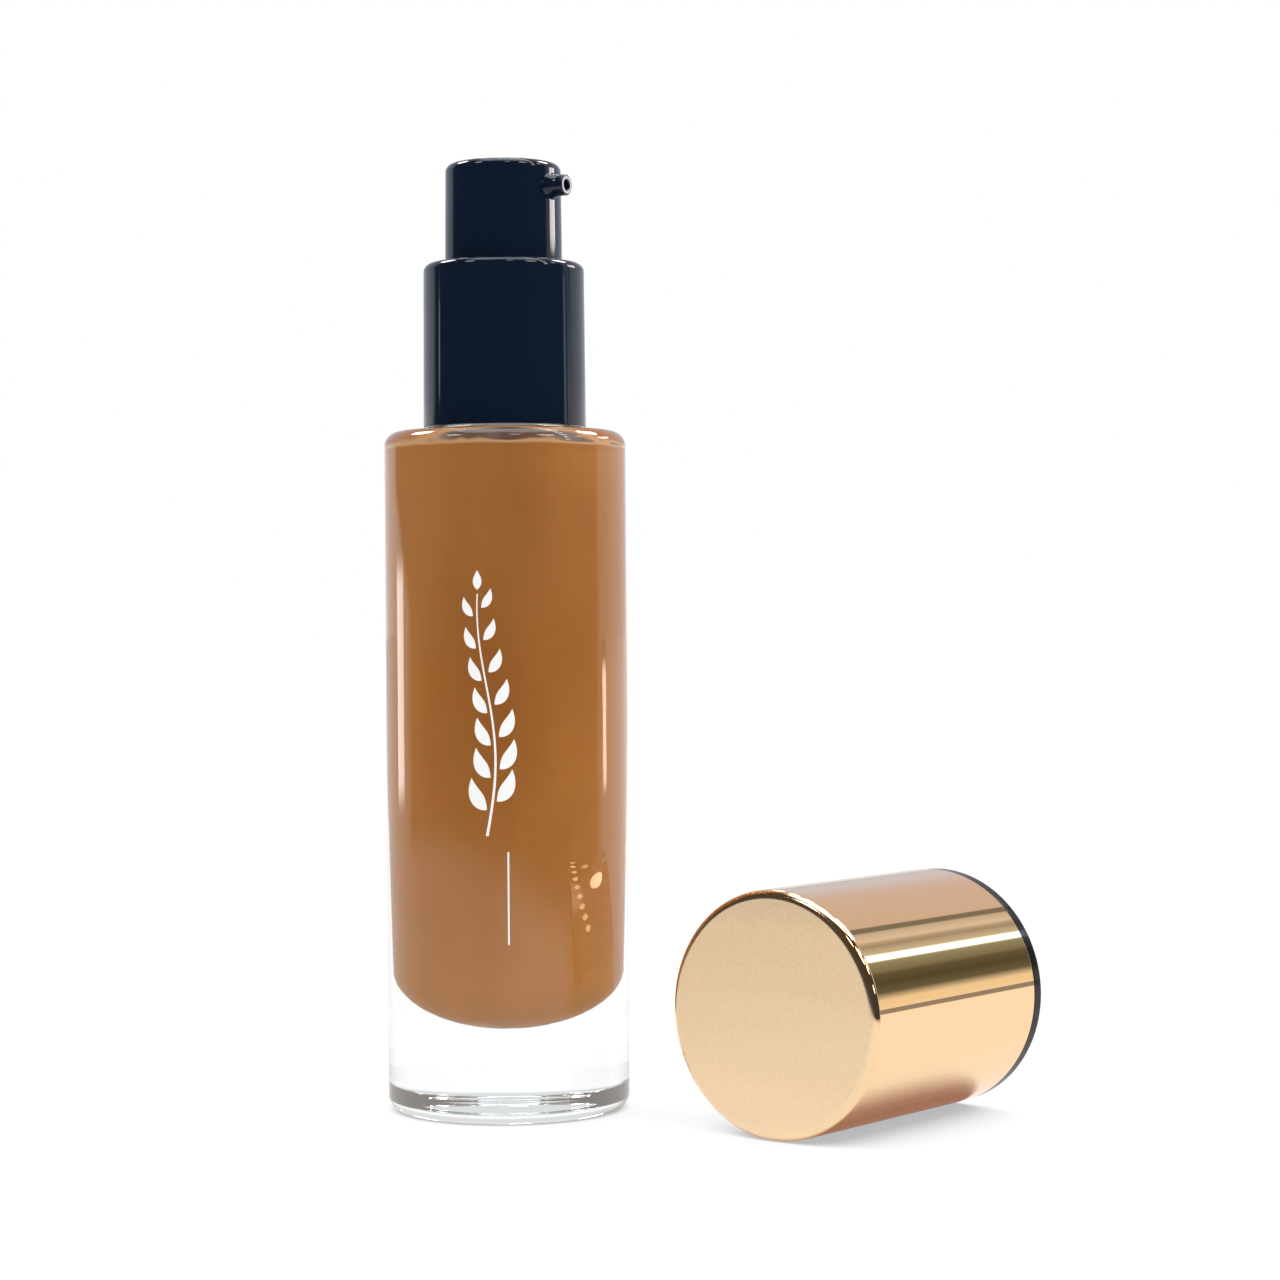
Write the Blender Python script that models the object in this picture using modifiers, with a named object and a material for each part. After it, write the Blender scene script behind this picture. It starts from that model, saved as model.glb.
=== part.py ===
"""Foundation bottle with a screw-on treatment pump and a gold overcap.

Frame: origin at the centre of the bottle's base on the table, +Z up.
The overcap lies on its side beside the bottle, its closed end towards -X -Y.
Every other piece is turned about the bottle's own axis, which is Z.
"""

import math

import bmesh
import bpy
from mathutils import Vector

MM = 0.001

# Driving dimensions
BOTTLE_R = 15.5 * MM
SHOULDER_Z = 87.1 * MM
CAVITY_TOP_R = 11.0 * MM
CAVITY_FOOT_R = 9.8 * MM
CAVITY_FOOT_Z = 17.3 * MM
SHOULDER_THICKNESS = 1.5 * MM
SHOULDER_FALL = 0.3 * MM
BASE_THICKNESS = 10.8 * MM
NECK_R = 7.75 * MM
NECK_BORE_R = 5.3 * MM
NECK_HEIGHT = 10.2 * MM
THREAD_PITCH = 3.175 * MM
THREAD_TURNS = 1.5
COLLAR_TOP_R = 10.3 * MM
COLLAR_BOTTOM_R = 10.45 * MM
COLLAR_TOP_Z = 108.4 * MM
HEAD_TOP_R = 7.4 * MM
HEAD_BOTTOM_R = 7.55 * MM
HEAD_TOP_Z = 121.2 * MM
SPOUT_REACH = 9.7 * MM
SPOUT_R = 1.35 * MM
SPOUT_BORE_R = 0.65 * MM
SPOUT_Z = 117.9 * MM
SPOUT_ANGLE = math.radians(-31)
BARREL_R = 4.2 * MM
BARREL_BORE_R = 3.2 * MM
STEM_R = 1.95 * MM
STROKE = 4.0 * MM
VALVE_SLIP = 0.8 * MM
CAP_R = 15.1 * MM
CAP_LENGTH = 37.6 * MM
CAP_RIM = 1.8 * MM
CAP_YAW = math.radians(38.5)
CAP_FACE_X = 32.6 * MM
CAP_FACE_Y = -27.5 * MM

# Working gap between neighbouring pieces
GAP = 0.3 * MM

# Levels that follow from the driving dimensions
NECK_TOP_Z = SHOULDER_Z + NECK_HEIGHT
THREAD_START_Z = SHOULDER_Z + 3.1 * MM
CEILING_Z = SHOULDER_Z - SHOULDER_THICKNESS
GASKET_TOP_Z = NECK_TOP_Z + 1.0 * MM
FLANGE_Z = GASKET_TOP_Z + GAP
FLANGE_TOP_Z = FLANGE_Z + 0.95 * MM
CHAPLET_LIP_Z = FLANGE_TOP_Z + GAP
CHAPLET_TOP_Z = CHAPLET_LIP_Z + 0.8 * MM
CLOSURE_TOP_Z = CHAPLET_TOP_Z + 0.1 * MM
SKIRT_Z = CLOSURE_TOP_Z + STROKE + 0.35 * MM
STEM_TOP_Z = 112.6 * MM
STEM_BOTTOM_Z = 94.3 * MM
PISTON_TOP_Z = STEM_BOTTOM_Z - VALVE_SLIP - GAP
PISTON_BOTTOM_Z = PISTON_TOP_Z - 3.8 * MM
VALVE_TOP_Z = PISTON_BOTTOM_Z - GAP
VALVE_BOTTOM_Z = VALVE_TOP_Z - 1.5 * MM
LEDGE_Z = 73.8 * MM
SEAT_Z = 70.0 * MM
TAIL_Z = 63.5 * MM
TUBE_BOTTOM_Z = BASE_THICKNESS + 1.5 * MM

# Turning resolution
WIDE = 32
NARROW = 24
THREAD_STEPS = 20
MERGE = 1e-6


def clear_scene():
    for obj in list(bpy.data.objects):
        bpy.data.objects.remove(obj, do_unlink=True)


def new_collection(name):
    collection = bpy.data.collections.new(name)
    bpy.context.scene.collection.children.link(collection)
    return collection


def finish(name, colour, roughness, metallic=0.0, transmission=0.0):
    """A material with a Principled BSDF."""
    material = bpy.data.materials.new(name)
    material.use_nodes = True
    shader = material.node_tree.nodes["Principled BSDF"]
    shader.inputs["Base Color"].default_value = (*colour, 1.0)
    shader.inputs["Roughness"].default_value = roughness
    shader.inputs["Metallic"].default_value = metallic
    shader.inputs["Transmission Weight"].default_value = transmission
    return material


def add_object(name, data, collection, material=None, parent=None):
    obj = bpy.data.objects.new(name, data)
    collection.objects.link(obj)
    obj.parent = parent
    if material is not None:
        data.materials.append(material)
    return obj


def add_empty(name, collection, location=(0.0, 0.0, 0.0), rotation=(0.0, 0.0, 0.0)):
    empty = bpy.data.objects.new(name, None)
    collection.objects.link(empty)
    empty.location = location
    empty.rotation_euler = rotation
    empty.empty_display_size = 5.0 * MM
    return empty


def hide_helper(obj):
    obj.hide_render = True
    obj.display_type = "WIRE"
    return obj


def fillet(before, corner, after, radius):
    """Points of the arc that rounds a corner of an outline."""
    to_before = (before - corner).normalized()
    to_after = (after - corner).normalized()
    half = to_before.angle(to_after) / 2
    reach = radius / math.tan(half)
    centre = corner + (to_before + to_after).normalized() * (radius / math.sin(half))
    first = corner + to_before * reach - centre
    last = corner + to_after * reach - centre
    start = math.atan2(first.y, first.x)
    sweep = math.remainder(math.atan2(last.y, last.x) - start, math.tau)
    steps = 2 if radius < 0.6 * MM else 4 if radius < 3 * MM else 6
    return [
        centre + Vector((radius * math.cos(angle), radius * math.sin(angle)))
        for angle in (start + sweep * i / steps for i in range(steps + 1))
    ]


def rounded(outline):
    """The outline's points, with an arc where a point carries a third value, its radius."""
    corners = [Vector(point[:2]) for point in outline]
    points = []
    for i, point in enumerate(outline):
        if len(point) == 2:
            points.append(corners[i])
        else:
            points += fillet(corners[i - 1], corners[i], corners[(i + 1) % len(corners)], point[2])
    return points


def bowl(rim_r, rim_z, bottom_z, steps=9):
    """Points of a half-elliptical bowl, from its rim down to its lowest point on the axis."""
    depth = rim_z - bottom_z
    angles = [math.pi / 2 * i / steps for i in range(steps)]
    curve = [(rim_r * math.cos(angle), rim_z - depth * math.sin(angle)) for angle in angles]
    return [*curve, (0.0, bottom_z)]


def turned(name, outline, collection, material=None, parent=None, segments=WIDE):
    """A solid of revolution about Z. Its outline holds (radius, height) points and runs down its
    outer side. An outline that starts off the axis is a closed ring section."""
    points = rounded(outline)
    edges = [(i, i + 1) for i in range(len(points) - 1)]
    if outline[0][0] > 0:
        edges.append((len(points) - 1, 0))
    mesh = bpy.data.meshes.new(name)
    mesh.from_pydata([(point.x, 0.0, point.y) for point in points], edges, [])
    obj = add_object(name, mesh, collection, material, parent)
    screw = obj.modifiers.new("turn", "SCREW")
    screw.steps = segments
    screw.render_steps = segments
    screw.use_merge_vertices = True
    screw.merge_threshold = MERGE
    screw.use_smooth_shade = True
    return obj


def bar(name, start, end, radius, collection, parent, end_radius=None, segments=16):
    """A cylinder, or a cone with end_radius, from start to end."""
    along = Vector(end) - Vector(start)
    mesh = bpy.data.meshes.new(name)
    shape = bmesh.new()
    bmesh.ops.create_cone(
        shape,
        cap_ends=True,
        segments=segments,
        radius1=radius,
        radius2=radius if end_radius is None else end_radius,
        depth=along.length,
    )
    shape.to_mesh(mesh)
    shape.free()
    obj = add_object(name, mesh, collection, parent=parent)
    obj.location = (Vector(start) + Vector(end)) / 2
    obj.rotation_mode = "QUATERNION"
    obj.rotation_quaternion = along.to_track_quat("Z", "Y")
    return obj


def wire(name, points, wire_r, collection, faded_points=0):
    """A round wire along the points, as a mesh. faded_points is how many points fade out at each end."""
    curve = bpy.data.curves.new(name, "CURVE")
    curve.dimensions = "3D"
    curve.bevel_depth = wire_r
    curve.bevel_resolution = 2
    curve.use_fill_caps = True
    spline = curve.splines.new("POLY")
    spline.points.add(len(points) - 1)
    for i, point in enumerate(points):
        spline.points[i].co = (*point, 1.0)
        from_end = min(i, len(points) - 1 - i)
        fade = from_end / faded_points if faded_points else 1.0
        spline.points[i].radius = min(1.0, 0.25 + 0.75 * fade)
    source = add_object(name + "_path", curve, collection)
    graph = bpy.context.evaluated_depsgraph_get()
    mesh = bpy.data.meshes.new_from_object(source.evaluated_get(graph))
    mesh.name = name
    shape = bmesh.new()
    shape.from_mesh(mesh)
    bmesh.ops.remove_doubles(shape, verts=shape.verts, dist=MERGE)
    bmesh.ops.recalc_face_normals(shape, faces=shape.faces)
    shape.to_mesh(mesh)
    shape.free()
    mesh.shade_smooth()
    obj = add_object(name, mesh, collection)
    obj.matrix_world = source.matrix_world
    bpy.data.objects.remove(source, do_unlink=True)
    return obj


def helix_points(radius, start_z, pitch, turns, per_turn):
    count = round(turns * per_turn)
    return [
        (
            radius * math.cos(math.tau * i / per_turn),
            radius * math.sin(math.tau * i / per_turn),
            start_z + pitch * i / per_turn,
        )
        for i in range(count + 1)
    ]


def boolean(obj, other, operation):
    modifier = obj.modifiers.new(operation.lower() + "_" + other.name, "BOOLEAN")
    modifier.operation = operation
    modifier.object = hide_helper(other)


def make_bottle_glass(parts, cutters, material):
    outline = [
        *reversed(bowl(CAVITY_FOOT_R, CAVITY_FOOT_Z, BASE_THICKNESS)),
        (CAVITY_TOP_R, CEILING_Z, 2.0 * MM),
        (NECK_BORE_R, CEILING_Z, 0.8 * MM),
        (NECK_BORE_R, NECK_TOP_Z, 0.3 * MM),
        (NECK_R, NECK_TOP_Z, 0.4 * MM),
        (NECK_R, SHOULDER_Z),
        (BOTTLE_R, SHOULDER_Z - SHOULDER_FALL, 2.6 * MM),
        (BOTTLE_R, 0.0, 1.8 * MM),
        (0.0, 0.0),
    ]
    obj = turned("bottle_glass", outline, parts, material)
    ridge_r = 0.8 * MM
    path = helix_points(NECK_R + 0.2 * MM, THREAD_START_Z, THREAD_PITCH, THREAD_TURNS, THREAD_STEPS)
    boolean(obj, wire("neck_thread", path, ridge_r, cutters, faded_points=4), "UNION")


def make_foundation_fill(parts, material):
    """The liquid, with a well around the pump barrel and the dip tube."""
    top_z = CEILING_Z - GAP
    tube_well_r = 1.8 * MM
    tail_well_r = 3.05 * MM
    barrel_well_r = BARREL_R + GAP
    outline = [
        (0.0, TUBE_BOTTOM_Z - 2 * GAP),
        (tube_well_r, TUBE_BOTTOM_Z - 2 * GAP),
        (tube_well_r, TAIL_Z - GAP),
        (tail_well_r, TAIL_Z - GAP),
        (tail_well_r, SEAT_Z + 0.6 * MM),
        (barrel_well_r, SEAT_Z + 3.1 * MM),
        (barrel_well_r, top_z),
        (CAVITY_TOP_R - GAP, top_z, 1.8 * MM),
        *bowl(CAVITY_FOOT_R - GAP, CAVITY_FOOT_Z, BASE_THICKNESS + GAP),
    ]
    turned("foundation_fill", outline, parts, material)


def make_closure(parts, cutters, material, axis):
    bore_r = 9.05 * MM
    outline = [
        (NECK_BORE_R - 0.1 * MM, CLOSURE_TOP_Z),
        (9.65 * MM, CLOSURE_TOP_Z, 0.4 * MM),
        (9.65 * MM, SHOULDER_Z + 0.5 * MM),
        (bore_r, SHOULDER_Z + 0.5 * MM),
        (bore_r, CHAPLET_LIP_Z),
        (NECK_BORE_R - 0.1 * MM, CHAPLET_LIP_Z),
    ]
    obj = turned("closure", outline, parts, material, axis)
    start_z = THREAD_START_Z - THREAD_PITCH / 2
    path = helix_points(bore_r - 0.2 * MM, start_z, THREAD_PITCH, THREAD_TURNS, THREAD_STEPS)
    boolean(obj, wire("closure_thread", path, 0.6 * MM, cutters, faded_points=4), "UNION")


def make_collar_cover(parts, material, axis):
    inner_r = 9.85 * MM
    seat_z = CLOSURE_TOP_Z + GAP
    head_hole_r = HEAD_BOTTOM_R + 0.4 * MM
    outline = [
        (head_hole_r, COLLAR_TOP_Z, 0.15 * MM),
        (COLLAR_TOP_R, COLLAR_TOP_Z, 1.0 * MM),
        (COLLAR_BOTTOM_R, SHOULDER_Z + GAP),
        (inner_r, SHOULDER_Z + GAP),
        (inner_r, seat_z),
        (9.0 * MM, seat_z),
        (9.0 * MM, seat_z + 0.7 * MM),
        (inner_r - 0.15 * MM, seat_z + 1.2 * MM),
        (inner_r - 0.15 * MM, COLLAR_TOP_Z - 1.1 * MM),
        (head_hole_r, COLLAR_TOP_Z - 1.1 * MM),
    ]
    turned("collar_cover", outline, parts, material, axis)


def make_gasket(parts, material, axis):
    outline = [
        (4.55 * MM, GASKET_TOP_Z),
        (8.4 * MM, GASKET_TOP_Z),
        (8.4 * MM, NECK_TOP_Z + GAP),
        (4.55 * MM, NECK_TOP_Z + GAP),
    ]
    turned("gasket", outline, parts, material, axis, NARROW)


def make_pump_housing(parts, cutters, material, axis):
    """Barrel with the neck flange, ball chamber, seat and dip-tube socket."""
    chamber_r = 1.75 * MM
    seat_r = 0.8 * MM
    tail_r = 2.75 * MM
    outline = [
        (BARREL_BORE_R, FLANGE_TOP_Z),
        (8.4 * MM, FLANGE_TOP_Z, 0.3 * MM),
        (8.4 * MM, FLANGE_Z),
        (BARREL_R, FLANGE_Z),
        (BARREL_R, LEDGE_Z - 0.5 * MM),
        (tail_r, SEAT_Z + 0.8 * MM),
        (tail_r, TAIL_Z),
        (chamber_r, TAIL_Z),
        (chamber_r, SEAT_Z - 1.4 * MM),
        (seat_r, SEAT_Z - 1.4 * MM),
        (seat_r, SEAT_Z),
        (chamber_r, SEAT_Z + 1.1 * MM),
        (chamber_r, LEDGE_Z),
        (BARREL_BORE_R, LEDGE_Z),
    ]
    obj = turned("pump_housing", outline, parts, material, axis, NARROW)
    for i in range(3):
        angle = math.tau * i / 3
        way = Vector((math.cos(angle), math.sin(angle), 0.0))
        level = Vector((0.0, 0.0, LEDGE_Z - 0.3 * MM))
        inner_end = way * 1.0 * MM + level
        outer_end = way * 2.4 * MM + level
        nib = bar(f"ball_nib_{i}", inner_end, outer_end, 0.22 * MM, cutters, axis, segments=8)
        boolean(obj, nib, "UNION")


def make_inlet_ball(parts, material, axis):
    radius = 1.2 * MM
    clearance = 0.08 * MM
    slope = math.atan2(0.95, 1.1)
    centre_z = SEAT_Z + (radius + clearance - 0.8 * MM * math.cos(slope)) / math.sin(slope)
    mesh = bpy.data.meshes.new("inlet_ball")
    shape = bmesh.new()
    bmesh.ops.create_uvsphere(shape, u_segments=16, v_segments=10, radius=radius)
    shape.to_mesh(mesh)
    shape.free()
    mesh.shade_smooth()
    obj = add_object("inlet_ball", mesh, parts, material, axis)
    obj.location = (0.0, 0.0, centre_z)


def make_dip_tube(parts, cutters, material, axis):
    """Suction tube, cut at a slant at its foot."""
    outer_r = 1.5 * MM
    top_z = SEAT_Z - 1.4 * MM - GAP
    outline = [
        (0.95 * MM, top_z),
        (outer_r, top_z),
        (outer_r, TUBE_BOTTOM_Z),
        (0.95 * MM, TUBE_BOTTOM_Z),
    ]
    obj = turned("dip_tube", outline, parts, material, axis, 20)
    slant = math.radians(40)
    reach = Vector((math.sin(slant), 0.0, -math.cos(slant))) * 6.0 * MM
    foot = Vector((0.0, 0.0, TUBE_BOTTOM_Z + outer_r * math.tan(slant) - 0.2 * MM))
    boolean(obj, bar("tube_slant", foot, foot + reach, 8.0 * MM, cutters, axis), "DIFFERENCE")


def make_return_spring(parts, material, axis):
    """Compression spring with one closed coil at each end."""
    wire_r = 0.25 * MM
    low = LEDGE_Z + GAP + wire_r
    high = VALVE_BOTTOM_Z - GAP - wire_r
    per_turn = 12
    closed_pitch = 0.65 * MM
    open_turns = 5
    open_pitch = (high - low - 2 * closed_pitch) / open_turns
    points = []
    height = low
    for i in range((open_turns + 2) * per_turn + 1):
        angle = math.tau * i / per_turn
        points.append((2.35 * MM * math.cos(angle), 2.35 * MM * math.sin(angle), height))
        open_coil = per_turn <= i < (open_turns + 1) * per_turn
        height += (open_pitch if open_coil else closed_pitch) / per_turn
    obj = wire("return_spring", points, wire_r, parts)
    obj.data.materials.append(material)
    obj.parent = axis


def make_piston_rod(parts, material, axis):
    """Lower rod: spring guide, valve disc, shaft and the tip that plugs the stem."""
    outline = [
        (0.0, STEM_BOTTOM_Z + 3.2 * MM),
        (0.8 * MM, STEM_BOTTOM_Z + 3.2 * MM),
        (0.8 * MM, STEM_BOTTOM_Z - 0.4 * MM),
        (1.12 * MM, STEM_BOTTOM_Z - 0.4 * MM),
        (1.12 * MM, VALVE_TOP_Z),
        (1.9 * MM, VALVE_TOP_Z),
        (2.7 * MM, VALVE_TOP_Z - 0.6 * MM),
        (2.7 * MM, VALVE_BOTTOM_Z),
        (1.7 * MM, VALVE_BOTTOM_Z),
        (1.3 * MM, VALVE_BOTTOM_Z - 3.1 * MM),
        (0.0, VALVE_BOTTOM_Z - 3.1 * MM),
    ]
    turned("piston_rod", outline, parts, material, axis, 20)


def make_piston(parts, material, axis):
    """Sliding seal with a lip at each end."""
    lip_r = 2.95 * MM
    waist_r = 2.4 * MM
    bore_r = 1.4 * MM
    outline = [
        (bore_r, PISTON_TOP_Z),
        (1.95 * MM, PISTON_TOP_Z),
        (2.3 * MM, PISTON_TOP_Z - 0.8 * MM),
        (2.65 * MM, PISTON_TOP_Z - 0.1 * MM),
        (lip_r, PISTON_TOP_Z - 0.1 * MM),
        (lip_r, PISTON_TOP_Z - 0.8 * MM),
        (waist_r, PISTON_TOP_Z - 1.3 * MM),
        (waist_r, PISTON_BOTTOM_Z + 1.0 * MM),
        (lip_r, PISTON_BOTTOM_Z + 0.6 * MM),
        (lip_r, PISTON_BOTTOM_Z),
        (bore_r, PISTON_BOTTOM_Z),
    ]
    turned("piston", outline, parts, material, axis, NARROW)


def make_stem(parts, material, axis):
    bore_r = 1.1 * MM
    outline = [
        (bore_r, STEM_TOP_Z),
        (STEM_R, STEM_TOP_Z, 0.25 * MM),
        (STEM_R, STEM_BOTTOM_Z),
        (bore_r, STEM_BOTTOM_Z),
    ]
    turned("stem", outline, parts, material, axis, NARROW)


def make_chaplet(parts, material, axis):
    bore_r = STEM_R + GAP
    outline = [
        (bore_r, CHAPLET_TOP_Z),
        (4.9 * MM, CHAPLET_TOP_Z, 0.2 * MM),
        (4.9 * MM, CHAPLET_LIP_Z),
        (BARREL_BORE_R - 0.25 * MM, CHAPLET_LIP_Z),
        (BARREL_BORE_R - 0.25 * MM, CHAPLET_LIP_Z - 4.0 * MM),
        (bore_r, CHAPLET_LIP_Z - 4.0 * MM),
    ]
    turned("chaplet", outline, parts, material, axis, NARROW)


def make_actuator(parts, cutters, material, axis):
    """Push head: skirt, stem socket, outlet channel and the side spout."""
    skirt_inner_r = HEAD_BOTTOM_R - 0.95 * MM
    socket_r = STEM_R + 0.15 * MM
    boss_r = 3.3 * MM
    roof_z = HEAD_TOP_Z - 1.5 * MM
    outline = [
        (0.0, HEAD_TOP_Z - 0.4 * MM),
        (5.6 * MM, HEAD_TOP_Z - 0.15 * MM),
        (6.2 * MM, HEAD_TOP_Z),
        (HEAD_TOP_R, HEAD_TOP_Z, 1.0 * MM),
        (HEAD_BOTTOM_R, SKIRT_Z),
        (skirt_inner_r, SKIRT_Z),
        (skirt_inner_r, roof_z),
        (boss_r, roof_z),
        (boss_r, SKIRT_Z),
        (socket_r, SKIRT_Z),
        (socket_r, STEM_TOP_Z + GAP),
        (0.9 * MM, STEM_TOP_Z + GAP),
        (0.9 * MM, SPOUT_Z + 0.8 * MM),
        (0.0, SPOUT_Z + 0.8 * MM),
    ]
    obj = turned("actuator", outline, parts, material, axis)
    way = Vector((math.cos(SPOUT_ANGLE), math.sin(SPOUT_ANGLE), 0.0))
    level = Vector((0.0, 0.0, SPOUT_Z))
    tip = way * SPOUT_REACH + level
    spout = bar("spout_body", way * 2.2 * MM + level, tip, SPOUT_R, cutters, axis, segments=20)
    root_start = way * 6.8 * MM + level
    root_end = way * 8.6 * MM + level
    root_r = SPOUT_R + 0.5 * MM
    root = bar("spout_root", root_start, root_end, root_r, cutters, axis, SPOUT_R - 0.02 * MM, 20)
    channel = bar("spout_channel", way * 0.1 * MM + level, tip + way * MM, SPOUT_BORE_R, cutters, axis)
    boolean(obj, spout, "UNION")
    boolean(obj, root, "UNION")
    boolean(obj, channel, "DIFFERENCE")


def make_cap_shell(parts, material, axis):
    """Gold outer shell. Upright, its mouth is down and its closed end is up."""
    inner_r = CAP_R - 0.5 * MM
    face_thickness = 0.8 * MM
    outline = [
        (0.0, CAP_LENGTH),
        (CAP_R, CAP_LENGTH, 1.0 * MM),
        (CAP_R, CAP_RIM + 0.1 * MM),
        (inner_r, CAP_RIM + 0.1 * MM),
        (inner_r, CAP_LENGTH - face_thickness, 0.6 * MM),
        (0.0, CAP_LENGTH - face_thickness),
    ]
    obj = turned("cap_shell", outline, parts, material, axis)
    obj.location = (CAP_R, 0.0, 0.0)


def make_cap_liner(parts, cutters, material, axis):
    """Black liner: rim flange, shell sleeve, and the inner sleeve whose ribs grip the collar."""
    bore_r = COLLAR_BOTTOM_R + 0.35 * MM
    sleeve_r = bore_r + 0.9 * MM
    shell_side_r = CAP_R - 0.8 * MM
    top_z = CAP_LENGTH - 1.2 * MM
    outline = [
        (0.0, top_z),
        (sleeve_r, top_z, 0.8 * MM),
        (sleeve_r, CAP_RIM + 0.8 * MM),
        (shell_side_r - 0.8 * MM, CAP_RIM + 0.8 * MM),
        (shell_side_r - 0.8 * MM, 14.0 * MM),
        (shell_side_r, 14.0 * MM),
        (shell_side_r, CAP_RIM),
        (CAP_R - 0.05 * MM, CAP_RIM),
        (CAP_R - 0.05 * MM, 0.0, 0.4 * MM),
        (bore_r, 0.0, 0.5 * MM),
        (bore_r, top_z - 0.9 * MM),
        (0.0, top_z - 0.9 * MM),
    ]
    obj = turned("cap_liner", outline, parts, material, axis)
    obj.location = (CAP_R, 0.0, 0.0)
    rib_r = 0.4 * MM
    centre = Vector((CAP_R, 0.0, 0.0))
    for i in range(6):
        angle = math.tau * (i + 0.5) / 6
        way = Vector((math.cos(angle), math.sin(angle), 0.0)) * (bore_r + 0.2 * MM)
        foot = centre + way + Vector((0.0, 0.0, 2.0 * MM))
        head = foot + Vector((0.0, 0.0, 15.0 * MM))
        boolean(obj, bar(f"grip_rib_{i}", foot, head, rib_r, cutters, axis, segments=10), "UNION")


def cap_axis(parts):
    """Empty on the line where the open rim meets the table. The cap tips up about its local Y."""
    way = Vector((math.sin(CAP_YAW), math.cos(CAP_YAW), 0.0))
    foot = Vector((CAP_FACE_X, CAP_FACE_Y, 0.0)) + way * CAP_LENGTH
    return add_empty("cap_tip_axis", parts, foot, (0.0, -math.pi / 2, math.pi / 2 - CAP_YAW))


def main():
    clear_scene()
    parts = new_collection("foundation_bottle")
    cutters = new_collection("foundation_bottle_cutters")

    glass = finish("clear_glass", (0.93, 0.98, 0.97), 0.02, transmission=1.0)
    liquid = finish("foundation_liquid", (0.42, 0.16, 0.05), 0.35)
    black = finish("black_gloss_plastic", (0.008, 0.010, 0.016), 0.08)
    cap_black = finish("black_liner_plastic", (0.015, 0.015, 0.018), 0.3)
    gold = finish("gold_metal", (0.93, 0.66, 0.42), 0.06, metallic=1.0)
    closure_white = finish("closure_polypropylene", (0.80, 0.80, 0.78), 0.4)
    natural = finish("natural_polypropylene", (0.78, 0.80, 0.80), 0.35)
    stem_white = finish("stem_polypropylene", (0.85, 0.86, 0.86), 0.3)
    rod_white = finish("rod_acetal", (0.82, 0.83, 0.82), 0.35)
    guide_white = finish("guide_acetal", (0.80, 0.82, 0.82), 0.35)
    seal_white = finish("piston_polyethylene", (0.72, 0.74, 0.76), 0.45)
    foam = finish("gasket_foam", (0.88, 0.88, 0.86), 0.8)
    tube_clear = finish("tube_polyethylene", (0.86, 0.88, 0.88), 0.3)
    spring_steel = finish("spring_steel", (0.62, 0.62, 0.60), 0.25, metallic=1.0)
    ball_steel = finish("ball_steel", (0.70, 0.70, 0.70), 0.12, metallic=1.0)

    pump_axis = add_empty("pump_lift_axis", parts)
    closure_axis = add_empty("closure_axis", parts)
    press_axis = add_empty("actuator_press_axis", parts)
    turn_axis = add_empty("actuator_turn_axis", parts)
    tip_axis = cap_axis(parts)

    make_bottle_glass(parts, cutters, glass)
    make_foundation_fill(parts, liquid)
    make_gasket(parts, foam, pump_axis)
    make_pump_housing(parts, cutters, natural, pump_axis)
    make_chaplet(parts, guide_white, pump_axis)
    make_dip_tube(parts, cutters, tube_clear, pump_axis)
    make_inlet_ball(parts, ball_steel, pump_axis)
    make_closure(parts, cutters, closure_white, closure_axis)
    make_collar_cover(parts, black, closure_axis)
    make_stem(parts, stem_white, press_axis)
    make_piston_rod(parts, rod_white, press_axis)
    make_piston(parts, seal_white, press_axis)
    make_return_spring(parts, spring_steel, press_axis)
    make_actuator(parts, cutters, black, turn_axis)
    make_cap_shell(parts, gold, tip_axis)
    make_cap_liner(parts, cutters, cap_black, tip_axis)


main()
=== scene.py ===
"""Looks of the foundation bottle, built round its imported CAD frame.

The frame has its origin at the centre of the bottle's base on the table, +Z up, and the
photograph's camera looks along +Y. The overcap lies on its side beside the bottle.
"""

import collections
import math

import bmesh
import bpy
from mathutils import Matrix, Vector


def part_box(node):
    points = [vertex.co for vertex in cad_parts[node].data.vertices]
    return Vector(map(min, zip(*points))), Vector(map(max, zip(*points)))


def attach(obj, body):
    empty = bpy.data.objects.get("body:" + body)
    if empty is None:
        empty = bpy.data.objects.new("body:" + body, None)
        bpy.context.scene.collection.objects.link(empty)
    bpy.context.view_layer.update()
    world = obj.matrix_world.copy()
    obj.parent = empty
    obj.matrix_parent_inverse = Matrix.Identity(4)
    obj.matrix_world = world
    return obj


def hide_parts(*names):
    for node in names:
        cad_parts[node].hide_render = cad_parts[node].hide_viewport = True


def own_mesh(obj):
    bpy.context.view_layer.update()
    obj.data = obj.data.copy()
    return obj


MM = 0.001

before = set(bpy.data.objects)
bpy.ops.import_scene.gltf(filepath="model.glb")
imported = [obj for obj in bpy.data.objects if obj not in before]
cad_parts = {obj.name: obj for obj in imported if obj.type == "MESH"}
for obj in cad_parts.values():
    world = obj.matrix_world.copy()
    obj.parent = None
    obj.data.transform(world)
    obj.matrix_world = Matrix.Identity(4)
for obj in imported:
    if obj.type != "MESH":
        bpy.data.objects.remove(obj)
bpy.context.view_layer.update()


def levels(node):
    """The lowest and the highest z of a CAD node."""
    low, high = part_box(node)
    return low.z, high.z


# Levels and radii read from the CAD
BOTTLE_R = -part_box("bottle_glass")[0].x
NECK_TOP_Z = levels("bottle_glass")[1]
FILL_BOTTOM_Z, FILL_TOP_Z = levels("foundation_fill")
COLLAR_BOTTOM_Z, COLLAR_TOP_Z = levels("collar_cover")
SKIRT_Z, HEAD_TOP_Z = levels("actuator")
SPRING_BOTTOM_Z, SPRING_TOP_Z = levels("return_spring")
CAP_R = levels("cap_shell")[1] / 2

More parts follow.
